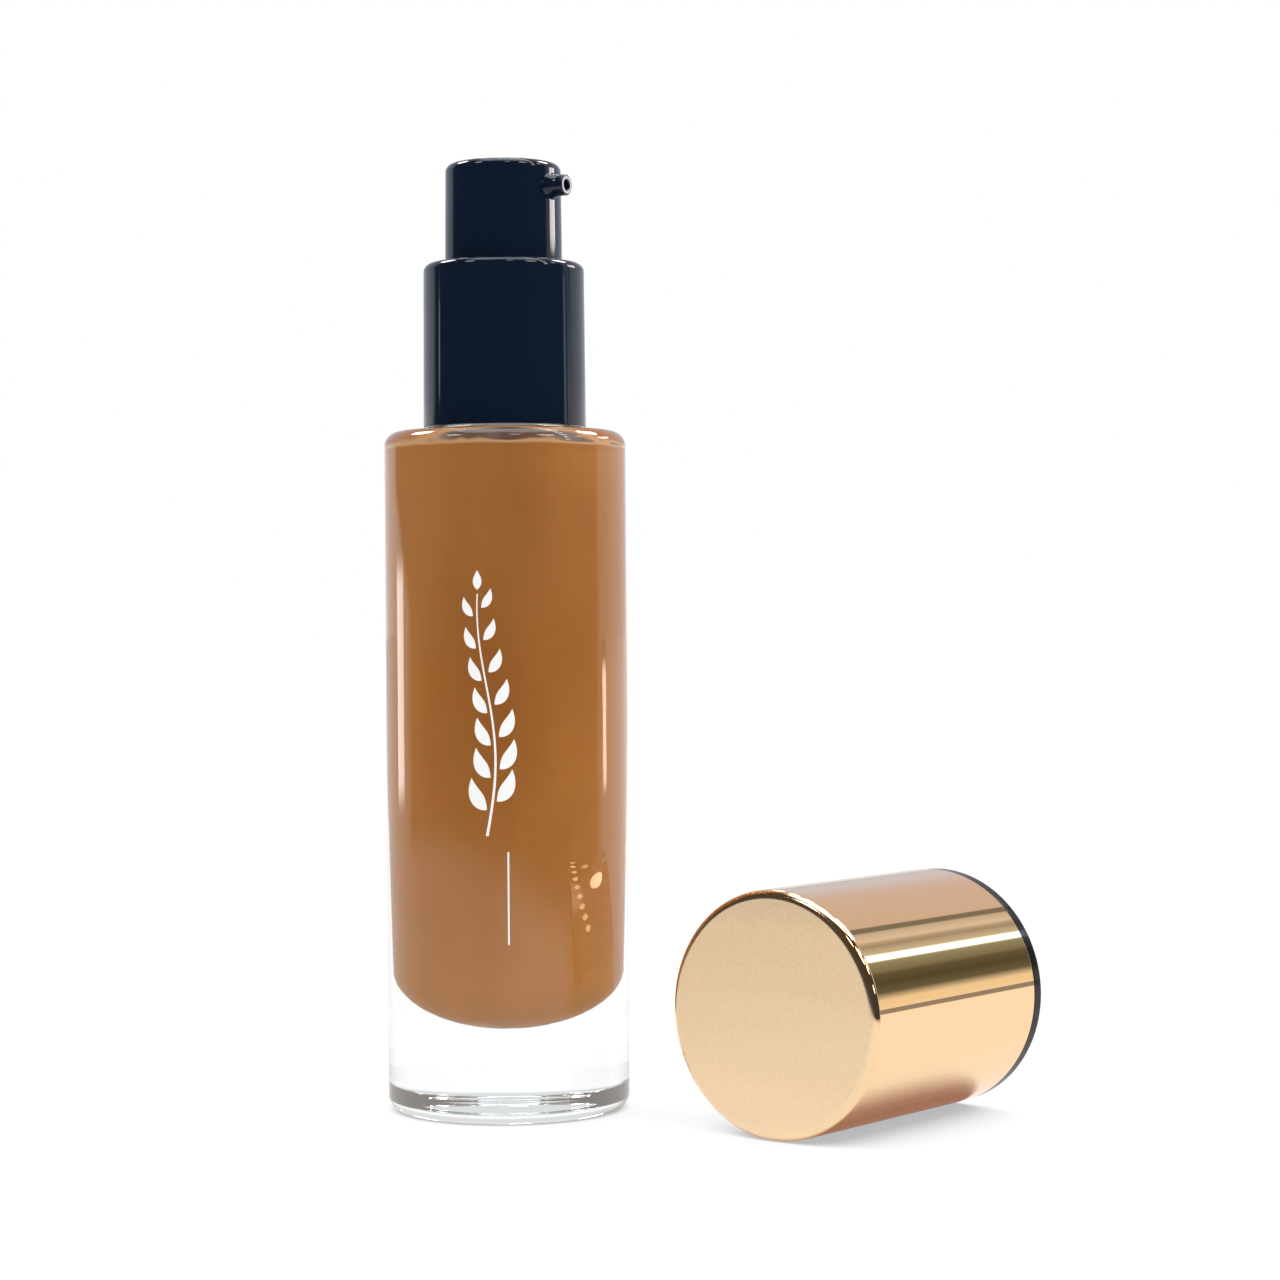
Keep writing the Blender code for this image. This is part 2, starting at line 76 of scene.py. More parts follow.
# Dimensions of the visible pieces, as in the CAD
SHOULDER_Z = 87.1 * MM
SHOULDER_FALL = 0.3 * MM
CAVITY_TOP_R = 11.0 * MM
CAVITY_FOOT_R = 9.8 * MM
CAVITY_FOOT_Z = 17.3 * MM
CAVITY_FLOOR_Z = 10.8 * MM
CEILING_Z = 85.6 * MM
NECK_R = 7.75 * MM
NECK_BORE_R = 5.3 * MM
THREAD_PITCH = 3.175 * MM
THREAD_START_Z = 90.2 * MM
THREAD_TURNS = 1.5
COLLAR_TOP_R = 10.3 * MM
COLLAR_BOTTOM_R = 10.45 * MM
CLOSURE_TOP_Z = 100.75 * MM
HEAD_TOP_R = 7.4 * MM
HEAD_BOTTOM_R = 7.55 * MM
SPOUT_Z = 117.9 * MM
SPOUT_REACH = 9.7 * MM
SPOUT_R = 1.35 * MM
SPOUT_BORE_R = 0.65 * MM
SPOUT_ANGLE = math.radians(-31)
STEM_TOP_Z = 112.6 * MM
CAP_LENGTH = 37.6 * MM
CAP_RIM = 1.8 * MM
CAP_YAW = math.radians(38.5)
CAP_WAY = Vector((math.sin(CAP_YAW), math.cos(CAP_YAW), 0.0))
CAP_FACE = Vector((32.6 * MM, -27.5 * MM, 15.1 * MM))
LIQUID_LINE_Z = 85.04 * MM
PRINT_THICKNESS = 0.03 * MM
PRINT_TURN = -0.12

# Studio: the camera's dip is in degrees, its roll in radians, its lens and sensor in millimetres
POOL_CENTRE = (-0.12, -0.04, 0.0)
POOL_FULL_R = 0.24
POOL_R = 0.46
CARD_REACH = 100.0 * MM
FLOOR_WHITE = (1.0, 0.995, 0.99, 1.0)
CAMERA_PLACE = Vector((17.21 * MM, -385.96 * MM, 63.83 * MM))
CAMERA_DIP = 0.57
CAMERA_ROLL = -0.0067
CAMERA_LENS = 84.28
CAMERA_SENSOR = 36.0

# Fineness of the meshes
ROUND = 192
COIL_STEPS = 40
SHARP_ANGLE = math.radians(32)


# ---------------------------------------------------------------- mesh building


def arc_steps(radius):
    """Steps of a fillet's arc: more of them on a larger radius."""
    if radius < 0.3 * MM:
        return 6
    if radius < 1.2 * MM:
        return 10
    return 20


def fillet(before, corner, after, radius):
    """Points of the arc that rounds a corner, with one holding point on each side of it."""
    to_before = (before - corner).normalized()
    to_after = (after - corner).normalized()
    half = to_before.angle(to_after) / 2
    reach = radius / math.tan(half)
    centre = corner + (to_before + to_after).normalized() * (radius / math.sin(half))
    first = corner + to_before * reach - centre
    last = corner + to_after * reach - centre
    start = math.atan2(first.y, first.x)
    sweep = math.remainder(math.atan2(last.y, last.x) - start, math.tau)
    steps = arc_steps(radius)
    hold = min(radius * 0.12, 0.1 * MM)
    arc = [
        centre + Vector((radius * math.cos(angle), radius * math.sin(angle)))
        for angle in (start + sweep * i / steps for i in range(steps + 1))
    ]
    return [arc[0] + to_before * hold, *arc, arc[-1] + to_after * hold]


def rounded(outline):
    """The outline's points, with an arc where a point carries a third value, its radius."""
    corners = [Vector(point[:2]) for point in outline]
    points = []
    for i, point in enumerate(outline):
        if len(point) == 2:
            points.append(corners[i])
        else:
            points += fillet(corners[i - 1], corners[i], corners[(i + 1) % len(corners)], point[2])
    return points


def bowl(rim_r, rim_z, bottom_z, steps=24):
    """Points of a half-elliptical bowl, from its rim down to its lowest point on the axis."""
    depth = rim_z - bottom_z
    angles = [math.pi / 2 * i / steps for i in range(steps)]
    curve = [(rim_r * math.cos(angle), rim_z - depth * math.sin(angle)) for angle in angles]
    return [*curve, (0.0, bottom_z)]


def shade(mesh):
    """Smooth shading, broken at sharp edges."""
    mesh.shade_smooth()
    mesh.set_sharp_from_angle(angle=SHARP_ANGLE)


def new_object(name, mesh):
    shade(mesh)
    obj = bpy.data.objects.new(name, mesh)
    bpy.context.scene.collection.objects.link(obj)
    return obj


def lathe(name, outline, segments=ROUND):
    """A solid of revolution about Z from (radius, height) points that run down its outer side.
    An outline that starts off the axis is a closed loop, which makes a ring."""
    points = rounded(outline)
    is_ring = outline[0][0] > 0
    verts, rows, faces = [], [], []
    for point in points:
        first = len(verts)
        if point.x < 1e-9:
            verts.append((0.0, 0.0, point.y))
            rows.append([first] * segments)
            continue
        for i in range(segments):
            angle = math.tau * i / segments
            verts.append((point.x * math.cos(angle), point.x * math.sin(angle), point.y))
        rows.append(list(range(first, first + segments)))
    pairs = list(zip(rows, rows[1:]))
    if is_ring:
        pairs.append((rows[-1], rows[0]))
    for upper, lower in pairs:
        for i in range(segments):
            j = (i + 1) % segments
            corners = [upper[i], lower[i], lower[j], upper[j]]
            face = list(dict.fromkeys(corners))
            if len(face) > 2:
                faces.append(face)
    mesh = bpy.data.meshes.new(name)
    mesh.from_pydata(verts, [], faces)
    return new_object(name, mesh)


def object_from(shape, name):
    """An object from a bmesh, which is freed."""
    bmesh.ops.recalc_face_normals(shape, faces=shape.faces)
    mesh = bpy.data.meshes.new(name)
    shape.to_mesh(mesh)
    shape.free()
    return new_object(name, mesh)


def join_rings(shape, rings):
    """Joins each ring of vertices to the next with quads, and closes both ends."""
    count = len(rings[0])
    for one, two in zip(rings, rings[1:]):
        for k in range(count):
            m = (k + 1) % count
            shape.faces.new((one[k], one[m], two[m], two[k]))
    shape.faces.new(list(reversed(rings[0])))
    shape.faces.new(rings[-1])


def sweep(name, path, radii, sides=14):
    """A round tube along a path that winds about Z, closed at both ends."""
    shape = bmesh.new()
    rings = []
    for i, point in enumerate(path):
        ahead = path[min(i + 1, len(path) - 1)] - path[max(i - 1, 0)]
        outward = Vector((point.x, point.y, 0.0)).normalized()
        side = ahead.normalized().cross(outward).normalized()
        outward = side.cross(ahead.normalized())
        ring = []
        for k in range(sides):
            angle = math.tau * k / sides
            offset = outward * math.cos(angle) + side * math.sin(angle)
            ring.append(shape.verts.new(point + offset * radii[i]))
        rings.append(ring)
    join_rings(shape, rings)
    return object_from(shape, name)


def coil_point(radius, i, height):
    """The i-th point of a coil about Z."""
    angle = math.tau * i / COIL_STEPS
    return Vector((radius * math.cos(angle), radius * math.sin(angle), height))


def combine(obj, other, operation):
    """Applies a Boolean with another object, which is then removed."""
    modifier = obj.modifiers.new(operation, "BOOLEAN")
    modifier.operation = operation
    modifier.solver = "EXACT"
    modifier.object = other
    graph = bpy.context.evaluated_depsgraph_get()
    mesh = bpy.data.meshes.new_from_object(obj.evaluated_get(graph))
    mesh.name = obj.name
    obj.modifiers.clear()
    obj.data = mesh
    shade(mesh)
    bpy.data.objects.remove(other, do_unlink=True)
    return obj


def place(obj, matrix):
    obj.matrix_world = matrix @ obj.matrix_world
    return obj


# ---------------------------------------------------------------- material building


class Nodes:
    """Short calls for building a node tree."""

    def __init__(self, tree):
        self.tree = tree

    def add(self, kind, **settings):
        node = self.tree.nodes.new(kind)
        for key, value in settings.items():
            setattr(node, key, value)
        return node

    def link(self, source, target):
        if isinstance(source, bpy.types.NodeSocket):
            self.tree.links.new(source, target)
        else:
            target.default_value = source

    def math(self, operation, a, b=0.0):
        node = self.add("ShaderNodeMath", operation=operation)
        self.link(a, node.inputs[0])
        self.link(b, node.inputs[1])
        return node.outputs[0]

    def times(self, a, b):
        return self.math("MULTIPLY", a, b)

    def plus(self, a, b):
        return self.math("ADD", a, b)

    def vector_math(self, operation, a, b, result="Vector"):
        node = self.add("ShaderNodeVectorMath", operation=operation)
        self.link(a, node.inputs[0])
        self.link(b, node.inputs[1])
        return node.outputs[result]

    def dot(self, a, b):
        return self.vector_math("DOT_PRODUCT", a, b, "Value")

    def ramp(self, value, low, high, to_low=0.0, to_high=1.0):
        """Smooth change from to_low to to_high as value goes from low to high."""
        node = self.add("ShaderNodeMapRange", interpolation_type="SMOOTHSTEP")
        self.link(value, node.inputs["Value"])
        self.link(low, node.inputs["From Min"])
        self.link(high, node.inputs["From Max"])
        self.link(to_low, node.inputs["To Min"])
        self.link(to_high, node.inputs["To Max"])
        return node.outputs["Result"]

    def stops(self, value, stops):
        """A colour ramp from (position, colour) stops."""
        node = self.add("ShaderNodeValToRGB")
        ramp = node.color_ramp
        while len(ramp.elements) < len(stops):
            ramp.elements.new(0.5)
        for element, (position, colour) in zip(ramp.elements, stops):
            element.position = position
            element.color = (*colour, 1.0)
        self.link(value, node.inputs[0])
        return node.outputs["Color"]

    def greys(self, value, stops):
        """A ramp of plain greys from (position, level) stops."""
        return self.stops(value, [(position, (level, level, level)) for position, level in stops])

    def mix(self, factor, a, b, blend="MIX"):
        node = self.add("ShaderNodeMix", data_type="RGBA", blend_type=blend)
        self.link(factor, node.inputs["Factor"])
        self.link(a, node.inputs[6])
        self.link(b, node.inputs[7])
        return node.outputs[2]

    def noise(self, vector, scale, detail):
        node = self.add("ShaderNodeTexNoise")
        self.link(vector, node.inputs["Vector"])
        node.inputs["Scale"].default_value = scale
        node.inputs["Detail"].default_value = detail
        return node.outputs["Fac"]

    def stretch(self, vector, scale):
        node = self.add("ShaderNodeMapping")
        self.link(vector, node.inputs["Vector"])
        node.inputs["Scale"].default_value = scale
        return node.outputs["Vector"]

    def bump(self, height, distance):
        node = self.add("ShaderNodeBump")
        self.link(height, node.inputs["Height"])
        node.inputs["Distance"].default_value = distance
        return node.outputs["Normal"]

    def facing(self):
        """0 where a surface faces the eye, 1 where it is seen edge on."""
        return self.add("ShaderNodeLayerWeight").outputs["Facing"]

    def light_path(self, question):
        return self.add("ShaderNodeLightPath").outputs[question]

    def split(self, vector):
        node = self.add("ShaderNodeSeparateXYZ")
        self.link(vector, node.inputs[0])
        return node.outputs

    def band(self, value, low, high, soft):
        """1 between low and high, 0 outside."""
        rise = self.ramp(value, low - soft, low + soft)
        fall = self.ramp(value, high - soft, high + soft, 1.0, 0.0)
        return self.times(rise, fall)


def rgb(red, green, blue):
    return (red, green, blue, 1.0)


def material(name):
    """A new material, its node helper, its Principled shader and its object coordinates."""
    made = bpy.data.materials.new(name)
    made.use_nodes = True
    nodes = Nodes(made.node_tree)
    shader = made.node_tree.nodes["Principled BSDF"]
    coords = nodes.add("ShaderNodeTexCoord").outputs["Object"]
    return made, nodes, shader, coords


def clear_glass():
    """Clear glass, a little darker where it is seen edge on: painted shade. Where a ray has bounced
    more than three times, the glass glows a soft grey: painted light standing in for light held
    inside the base."""
    made, nodes, shader, coords = material("clear_glass")
    shader.inputs["Transmission Weight"].default_value = 1.0
    shader.inputs["IOR"].default_value = 1.5
    # the glass turns grey where it is seen edge on: painted shade
    edge_on = nodes.ramp(nodes.facing(), 0.55, 0.97)
    tint_and_shade = nodes.mix(edge_on, rgb(0.955, 0.990, 0.985), rgb(0.84, 0.85, 0.85))
    nodes.link(tint_and_shade, shader.inputs["Base Color"])
    haze = nodes.noise(coords, scale=220.0, detail=2.0)
    nodes.link(nodes.ramp(haze, 0.35, 0.8, 0.0, 0.012), shader.inputs["Roughness"])
    flow = nodes.noise(nodes.stretch(coords, (1.0, 1.0, 0.25)), scale=90.0, detail=1.0)
    nodes.link(nodes.bump(flow, 0.012 * MM), shader.inputs["Normal"])
    # past three bounces the glass glows a soft grey: painted light
    painted_bounce_glow = nodes.math("GREATER_THAN", nodes.light_path("Ray Depth"), 3.5)
    shader.inputs["Emission Color"].default_value = rgb(0.075, 0.066, 0.061)
    nodes.link(painted_bounce_glow, shader.inputs["Emission Strength"])
    return made


def foundation_liquid():
    """Opaque liquid, a little lighter towards the bottom: painted light from the floor. Its top edge is
    a paler, wavy line, with a thin film on the glass above it, and its outline round the bottom of
    the bowl, where it is seen edge on, is pale and specked: a painted highlight. Reflection rays see
    it near black with a painted glow instead: a soft grey where the glass base mirrors it, and a dull
    brown where the glass shoulder mirrors it."""
    made, nodes, shader, coords = material("foundation_liquid")
    height = nodes.split(coords)[2]
    cloud = nodes.noise(nodes.stretch(coords, (1.0, 1.0, 0.35)), scale=70.0, detail=4.0)
    # the liquid's own orange-brown, a little lighter towards the bottom: painted light from the floor
    pale = nodes.stops(
        nodes.ramp(height, FILL_BOTTOM_Z, FILL_TOP_Z),
        [
            (0.0, (0.66, 0.27, 0.075)),
            (0.25, (0.63, 0.235, 0.050)),
            (0.6, (0.62, 0.222, 0.040)),
            (1.0, (0.60, 0.230, 0.052)),
        ],
    )
    deep = nodes.mix(1.0, pale, rgb(0.86, 0.82, 0.72), "MULTIPLY")
    colour = nodes.mix(nodes.ramp(cloud, 0.35, 0.65), deep, pale)

    # the paler line at its top edge, and the film above that
    waves = nodes.noise(nodes.stretch(coords, (1.0, 1.0, 0.0)), scale=160.0, detail=2.0)
    level = nodes.plus(height, nodes.times(waves, 0.50 * MM))
    line_top = LIQUID_LINE_Z + 0.25 * MM
    line = nodes.ramp(level, line_top - 0.36 * MM, line_top)
    colour = nodes.mix(line, colour, rgb(0.93, 0.50, 0.24))
    film = nodes.mix(nodes.ramp(cloud, 0.45, 0.62), rgb(0.21, 0.115, 0.075), rgb(0.40, 0.30, 0.27))
    colour = nodes.mix(nodes.ramp(level, line_top, line_top + 0.08 * MM), colour, film)

    # a pale, specked outline round the bottom of the bowl where it is seen edge on: a painted highlight
    speck = nodes.ramp(nodes.noise(coords, scale=900.0, detail=2.0), 0.48, 0.60)
    outline = nodes.mix(speck, rgb(0.42, 0.33, 0.27), rgb(0.95, 0.90, 0.86))
    low_down = nodes.ramp(height, CAVITY_FOOT_Z, CAVITY_FOOT_Z + 6.0 * MM, 1.0, 0.0)
    edge_on = nodes.ramp(nodes.facing(), 0.86, 0.93)
    colour = nodes.mix(nodes.times(edge_on, low_down), colour, outline)

    # reflection rays see the liquid near black with a painted glow: a painted reflection, grey low down
    # and brown high up
    mirrored = nodes.light_path("Is Reflection Ray")
    nodes.link(nodes.mix(mirrored, colour, rgb(0.05, 0.05, 0.05)), shader.inputs["Base Color"])
    high_up = nodes.ramp(height, 40.0 * MM, 70.0 * MM)
    painted_mirror_glow = nodes.mix(high_up, rgb(0.60, 0.64, 0.64), rgb(0.17, 0.105, 0.075))
    nodes.link(painted_mirror_glow, shader.inputs["Emission Color"])
    nodes.link(mirrored, shader.inputs["Emission Strength"])
    shader.inputs["Roughness"].default_value = 0.45
    shader.inputs["Specular IOR Level"].default_value = 0.15
    shader.inputs["Subsurface Weight"].default_value = 0.1
    shader.inputs["Subsurface Radius"].default_value = (1.0, 0.4, 0.15)
    shader.inputs["Subsurface Scale"].default_value = 0.6 * MM
    return made


def black_gloss_plastic():
    made, nodes, shader, coords = material("black_gloss_plastic")
    shader.inputs["Base Color"].default_value = rgb(0.0026, 0.0076, 0.0200)
    shader.inputs["IOR"].default_value = 1.5
    rub = nodes.noise(nodes.stretch(coords, (1.0, 1.0, 0.3)), scale=400.0, detail=4.0)
    nodes.link(nodes.ramp(rub, 0.3, 0.8, 0.035, 0.085), shader.inputs["Roughness"])
    sink = nodes.noise(nodes.stretch(coords, (1.0, 1.0, 0.4)), scale=120.0, detail=1.0)
    nodes.link(nodes.bump(sink, 0.006 * MM), shader.inputs["Normal"])
    return made


def black_liner_plastic():
    made, nodes, shader, coords = material("black_liner_plastic")
    shader.inputs["Base Color"].default_value = rgb(0.004, 0.004, 0.005)
    grain = nodes.noise(coords, scale=1800.0, detail=3.0)
    nodes.link(nodes.ramp(grain, 0.3, 0.7, 0.10, 0.18), shader.inputs["Roughness"])
    nodes.link(nodes.bump(grain, 0.002 * MM), shader.inputs["Normal"])
    shader.inputs["Specular IOR Level"].default_value = 0.25
    return made


def gold_metal():
    """Metallised gold: a mirror side with faint waves, and a finely grained end face with soft
    bands across it."""
    made, nodes, shader, coords = material("gold_metal")
    shader.inputs["Metallic"].default_value = 1.0
    along = nodes.split(coords)[2]
    on_face = nodes.ramp(along, CAP_LENGTH - 0.5 * MM, CAP_LENGTH - 0.05 * MM)
    grain = nodes.noise(coords, scale=3600.0, detail=2.0)
    bands = nodes.noise(nodes.stretch(coords, (1.0, 0.12, 1.0)), scale=130.0, detail=1.0)
    face = nodes.mix(nodes.ramp(bands, 0.35, 0.65), rgb(0.915, 0.685, 0.435), rgb(0.955, 0.715, 0.455))
    duller = nodes.mix(1.0, face, rgb(0.97, 0.965, 0.96), "MULTIPLY")
    face = nodes.mix(nodes.ramp(grain, 0.35, 0.65), face, duller)
    nodes.link(nodes.mix(on_face, rgb(0.96, 0.665, 0.385), face), shader.inputs["Base Color"])
    side_roughness = nodes.ramp(grain, 0.3, 0.7, 0.012, 0.03)
    nodes.link(nodes.plus(side_roughness, nodes.times(on_face, 0.15)), shader.inputs["Roughness"])
    wave = nodes.noise(nodes.stretch(coords, (1.0, 1.0, 0.5)), scale=90.0, detail=1.0)
    relief = nodes.plus(nodes.times(grain, nodes.times(on_face, 0.06)), wave)
    nodes.link(nodes.bump(relief, 0.010 * MM), shader.inputs["Normal"])
    return made


def moulded_plastic(name, colour, roughness, translucency=0.0):
    made, nodes, shader, coords = material(name)
    cloud = nodes.noise(coords, scale=300.0, detail=2.0)
    paler = tuple(min(1.0, value * 1.06) for value in colour)
    nodes.link(nodes.mix(cloud, rgb(*colour), rgb(*paler)), shader.inputs["Base Color"])
    grain = nodes.noise(coords, scale=2200.0, detail=2.0)
    grained = nodes.ramp(grain, 0.3, 0.7, roughness * 0.85, roughness * 1.15)
    nodes.link(grained, shader.inputs["Roughness"])
    nodes.link(nodes.bump(grain, 0.008 * MM), shader.inputs["Normal"])
    shader.inputs["Transmission Weight"].default_value = translucency
    return made


def gasket_foam():
    made, nodes, shader, coords = material("gasket_foam")
    cell = nodes.add("ShaderNodeTexVoronoi")
    nodes.link(coords, cell.inputs["Vector"])
    cell.inputs["Scale"].default_value = 6000.0
    pore = cell.outputs["Distance"]
    nodes.link(nodes.mix(pore, rgb(0.78, 0.78, 0.76), rgb(0.90, 0.90, 0.88)), shader.inputs["Base Color"])
    shader.inputs["Roughness"].default_value = 0.85
    nodes.link(nodes.bump(pore, 0.04 * MM), shader.inputs["Normal"])
    return made


def steel(name, colour, roughness, stretch_z):
    made, nodes, shader, coords = material(name)
    shader.inputs["Metallic"].default_value = 1.0
    shader.inputs["Base Color"].default_value = rgb(*colour)
    scratch = nodes.noise(nodes.stretch(coords, (1.0, 1.0, stretch_z)), scale=1500.0, detail=3.0)
    scratched = nodes.ramp(scratch, 0.3, 0.7, roughness * 0.6, roughness * 1.4)
    nodes.link(scratched, shader.inputs["Roughness"])
    return made


def print_ink():
    made, nodes, shader, coords = material("print_ink")
    speck = nodes.noise(coords, scale=3000.0, detail=2.0)
    nodes.link(nodes.mix(speck, rgb(0.86, 0.86, 0.85), rgb(0.95, 0.95, 0.95)), shader.inputs["Base Color"])
    shader.inputs["Roughness"].default_value = 0.5
    nodes.link(nodes.bump(speck, 0.005 * MM), shader.inputs["Normal"])
    return made


# ---------------------------------------------------------------- bottle


def make_thread():
    """The neck's thread, a round ridge that thins out over its first and last few points."""
    ridge_r = 0.8 * MM
    end_share = 0.25
    fade = 7
    last = round(THREAD_TURNS * COIL_STEPS)
    path = []
    radii = []
    for i in range(last + 1):
        height = THREAD_START_Z + THREAD_PITCH * i / COIL_STEPS
        path.append(coil_point(NECK_R + 0.2 * MM, i, height))
        from_end = min(i, last - i) / fade
        radii.append(ridge_r * min(1.0, end_share + (1.0 - end_share) * from_end))
    return sweep("neck_thread", path, radii)


def make_bottle_glass():
    outline = [
        *reversed(bowl(CAVITY_FOOT_R, CAVITY_FOOT_Z, CAVITY_FLOOR_Z)),
        (CAVITY_TOP_R, CEILING_Z, 0.8 * MM),
        (NECK_BORE_R, CEILING_Z, 0.8 * MM),
        (NECK_BORE_R, NECK_TOP_Z, 0.3 * MM),
        (NECK_R, NECK_TOP_Z, 0.4 * MM),
        (NECK_R, SHOULDER_Z, 0.5 * MM),
        (BOTTLE_R, SHOULDER_Z - SHOULDER_FALL, 2.0 * MM),
        (BOTTLE_R, 0.0, 1.8 * MM),
        (0.0, 0.0),
    ]
    return combine(lathe("bottle_glass_body", outline), make_thread(), "UNION")


def make_foundation_fill():
    """The liquid, with a well round the dip tube and the pump. It overlaps the glass a hair, as a
    liquid that wets glass does."""
    wet = 0.05 * MM
    top_z = CEILING_Z + wet
    tube_well_r, tube_well_z = 1.8 * MM, 12.2 * MM
    tail_well_r, tail_well_z = 3.05 * MM, 63.2 * MM
    barrel_well_r = 4.5 * MM
    cone_bottom_z, cone_top_z = 70.6 * MM, 73.1 * MM
    outline = [
        (0.0, tube_well_z),
        (tube_well_r, tube_well_z),
        (tube_well_r, tail_well_z),
        (tail_well_r, tail_well_z),
        (tail_well_r, cone_bottom_z),
        (barrel_well_r, cone_top_z),
        (barrel_well_r, FILL_TOP_Z),
        (NECK_BORE_R + 1.2 * MM, FILL_TOP_Z),
        (NECK_BORE_R + 1.8 * MM, top_z),
        (CAVITY_TOP_R + wet, top_z, 0.8 * MM),
        *bowl(CAVITY_FOOT_R + wet, CAVITY_FOOT_Z, CAVITY_FLOOR_Z - wet),
    ]
    return lathe("foundation_liquid_fill", outline)


def make_collar_cover():
    """The sleeve round the closure. A ledge inside it rests on the closure, and its top closes in
    round the head."""
    inner_r = 9.85 * MM
    upper_inner_r = inner_r - 0.15 * MM
    ledge_r = 9.0 * MM
    ledge_z = CLOSURE_TOP_Z + 0.3 * MM
    head_hole_r = HEAD_BOTTOM_R + 0.4 * MM
    roof_z = COLLAR_TOP_Z - 1.1 * MM
    outline = [
        (head_hole_r, COLLAR_TOP_Z, 0.15 * MM),
        (COLLAR_TOP_R, COLLAR_TOP_Z, 1.0 * MM),
        (COLLAR_BOTTOM_R, COLLAR_BOTTOM_Z, 0.12 * MM),
        (inner_r, COLLAR_BOTTOM_Z, 0.1 * MM),
        (inner_r, ledge_z),
        (ledge_r, ledge_z),
        (ledge_r, ledge_z + 0.7 * MM),
        (upper_inner_r, ledge_z + 1.2 * MM),
        (upper_inner_r, roof_z, 0.3 * MM),
        (head_hole_r, roof_z, 0.1 * MM),
    ]
    return lathe("collar_sleeve", outline)


def along_spout(obj):
    """Turns a piece built up +Z so that it points along the spout."""
    turn = Matrix.Rotation(SPOUT_ANGLE, 4, "Z") @ Matrix.Rotation(math.pi / 2, 4, "Y")
    obj.data.transform(Matrix.Translation((0.0, 0.0, SPOUT_Z)) @ turn)
    return obj


def make_head():
    """The push head without its spout: a dished top, a skirt, and a socket for the stem."""
    skirt_inner_r = HEAD_BOTTOM_R - 0.95 * MM
    boss_r = 3.3 * MM
    socket_r = 2.1 * MM
    socket_z = STEM_TOP_Z + 0.3 * MM
    channel_r = 0.9 * MM
    channel_z = SPOUT_Z + 0.8 * MM
    roof_z = HEAD_TOP_Z - 1.5 * MM
    outline = [
        (0.0, HEAD_TOP_Z - 0.4 * MM),
        (5.6 * MM, HEAD_TOP_Z - 0.15 * MM, 3.0 * MM),
        (6.2 * MM, HEAD_TOP_Z, 0.5 * MM),
        (HEAD_TOP_R, HEAD_TOP_Z, 1.0 * MM),
        (HEAD_BOTTOM_R, SKIRT_Z, 0.15 * MM),
        (skirt_inner_r, SKIRT_Z, 0.1 * MM),
        (skirt_inner_r, roof_z, 0.5 * MM),
        (boss_r, roof_z, 0.4 * MM),
        (boss_r, SKIRT_Z, 0.15 * MM),
        (socket_r, SKIRT_Z, 0.15 * MM),
        (socket_r, socket_z),
        (channel_r, socket_z),
        (channel_r, channel_z),
        (0.0, channel_z),
    ]
    return lathe("push_head", outline)


def make_spout():
    """The spout, a tapered tip on a root inside the head."""
    root_r = 2.0 * MM
    root_start = 3.0 * MM
    root_end = 6.9 * MM
    tip_start = 8.3 * MM
    outline = [
        (0.0, SPOUT_REACH),
        (SPOUT_R, SPOUT_REACH, 0.22 * MM),
        (SPOUT_R, tip_start, 3.0 * MM),
        (root_r, root_end),
        (root_r, root_start),
        (0.0, root_start),
    ]
    return along_spout(lathe("spout", outline, 72))


def make_spout_channel():
    """Cutter for the spout's channel, from the head's axis out, with a small funnel at the tip."""
    start = 0.1 * MM
    past_tip = SPOUT_REACH + 1.0 * MM
    funnel_r = SPOUT_BORE_R + 0.12 * MM
    outline = [
        (0.0, past_tip),
        (funnel_r, past_tip),
        (funnel_r, SPOUT_REACH - 0.02 * MM),
        (SPOUT_BORE_R, SPOUT_REACH - 0.16 * MM),
        (SPOUT_BORE_R, start),
        (0.0, start),
    ]
    return along_spout(lathe("spout_channel", outline, 48))


def make_actuator():
    head = combine(make_head(), make_spout(), "UNION")
    return combine(head, make_spout_channel(), "DIFFERENCE")


# ---------------------------------------------------------------- overcap


def cap_matrix():
    """From the upright cap, mouth at z 0 and closed end up, to the cap lying on the table."""
    up = Vector((0.0, 0.0, 1.0))
    side = up.cross(CAP_WAY)
    turn = Matrix((up, side, -CAP_WAY)).transposed().to_4x4()
    return Matrix.Translation(CAP_FACE + CAP_WAY * CAP_LENGTH) @ turn


def make_cap_shell():
    inner_r = CAP_R - 0.5 * MM
    open_z = CAP_RIM + 0.1 * MM
    ceiling_z = CAP_LENGTH - 0.8 * MM
    outline = [
        (0.0, CAP_LENGTH),
        (CAP_R, CAP_LENGTH, 1.0 * MM),
        (CAP_R, open_z, 0.12 * MM),
        (inner_r, open_z, 0.05 * MM),
        (inner_r, ceiling_z, 0.6 * MM),
        (0.0, ceiling_z),
    ]
    return place(lathe("cap_gold_shell", outline), cap_matrix())


def make_grip_rib(reach, angle):
    """An upright rib inside the cap's bore."""
    rib_r = 0.4 * MM
    bottom_z, top_z = 2.0 * MM, 17.0 * MM
    rounding = 0.3 * MM
    outline = [(0.0, top_z), (rib_r, top_z, rounding), (rib_r, bottom_z, rounding), (0.0, bottom_z)]
    rib = lathe("grip_rib", outline, 24)
    spot = (reach * math.cos(angle), reach * math.sin(angle), 0.0)
    rib.data.transform(Matrix.Translation(spot))
    return rib


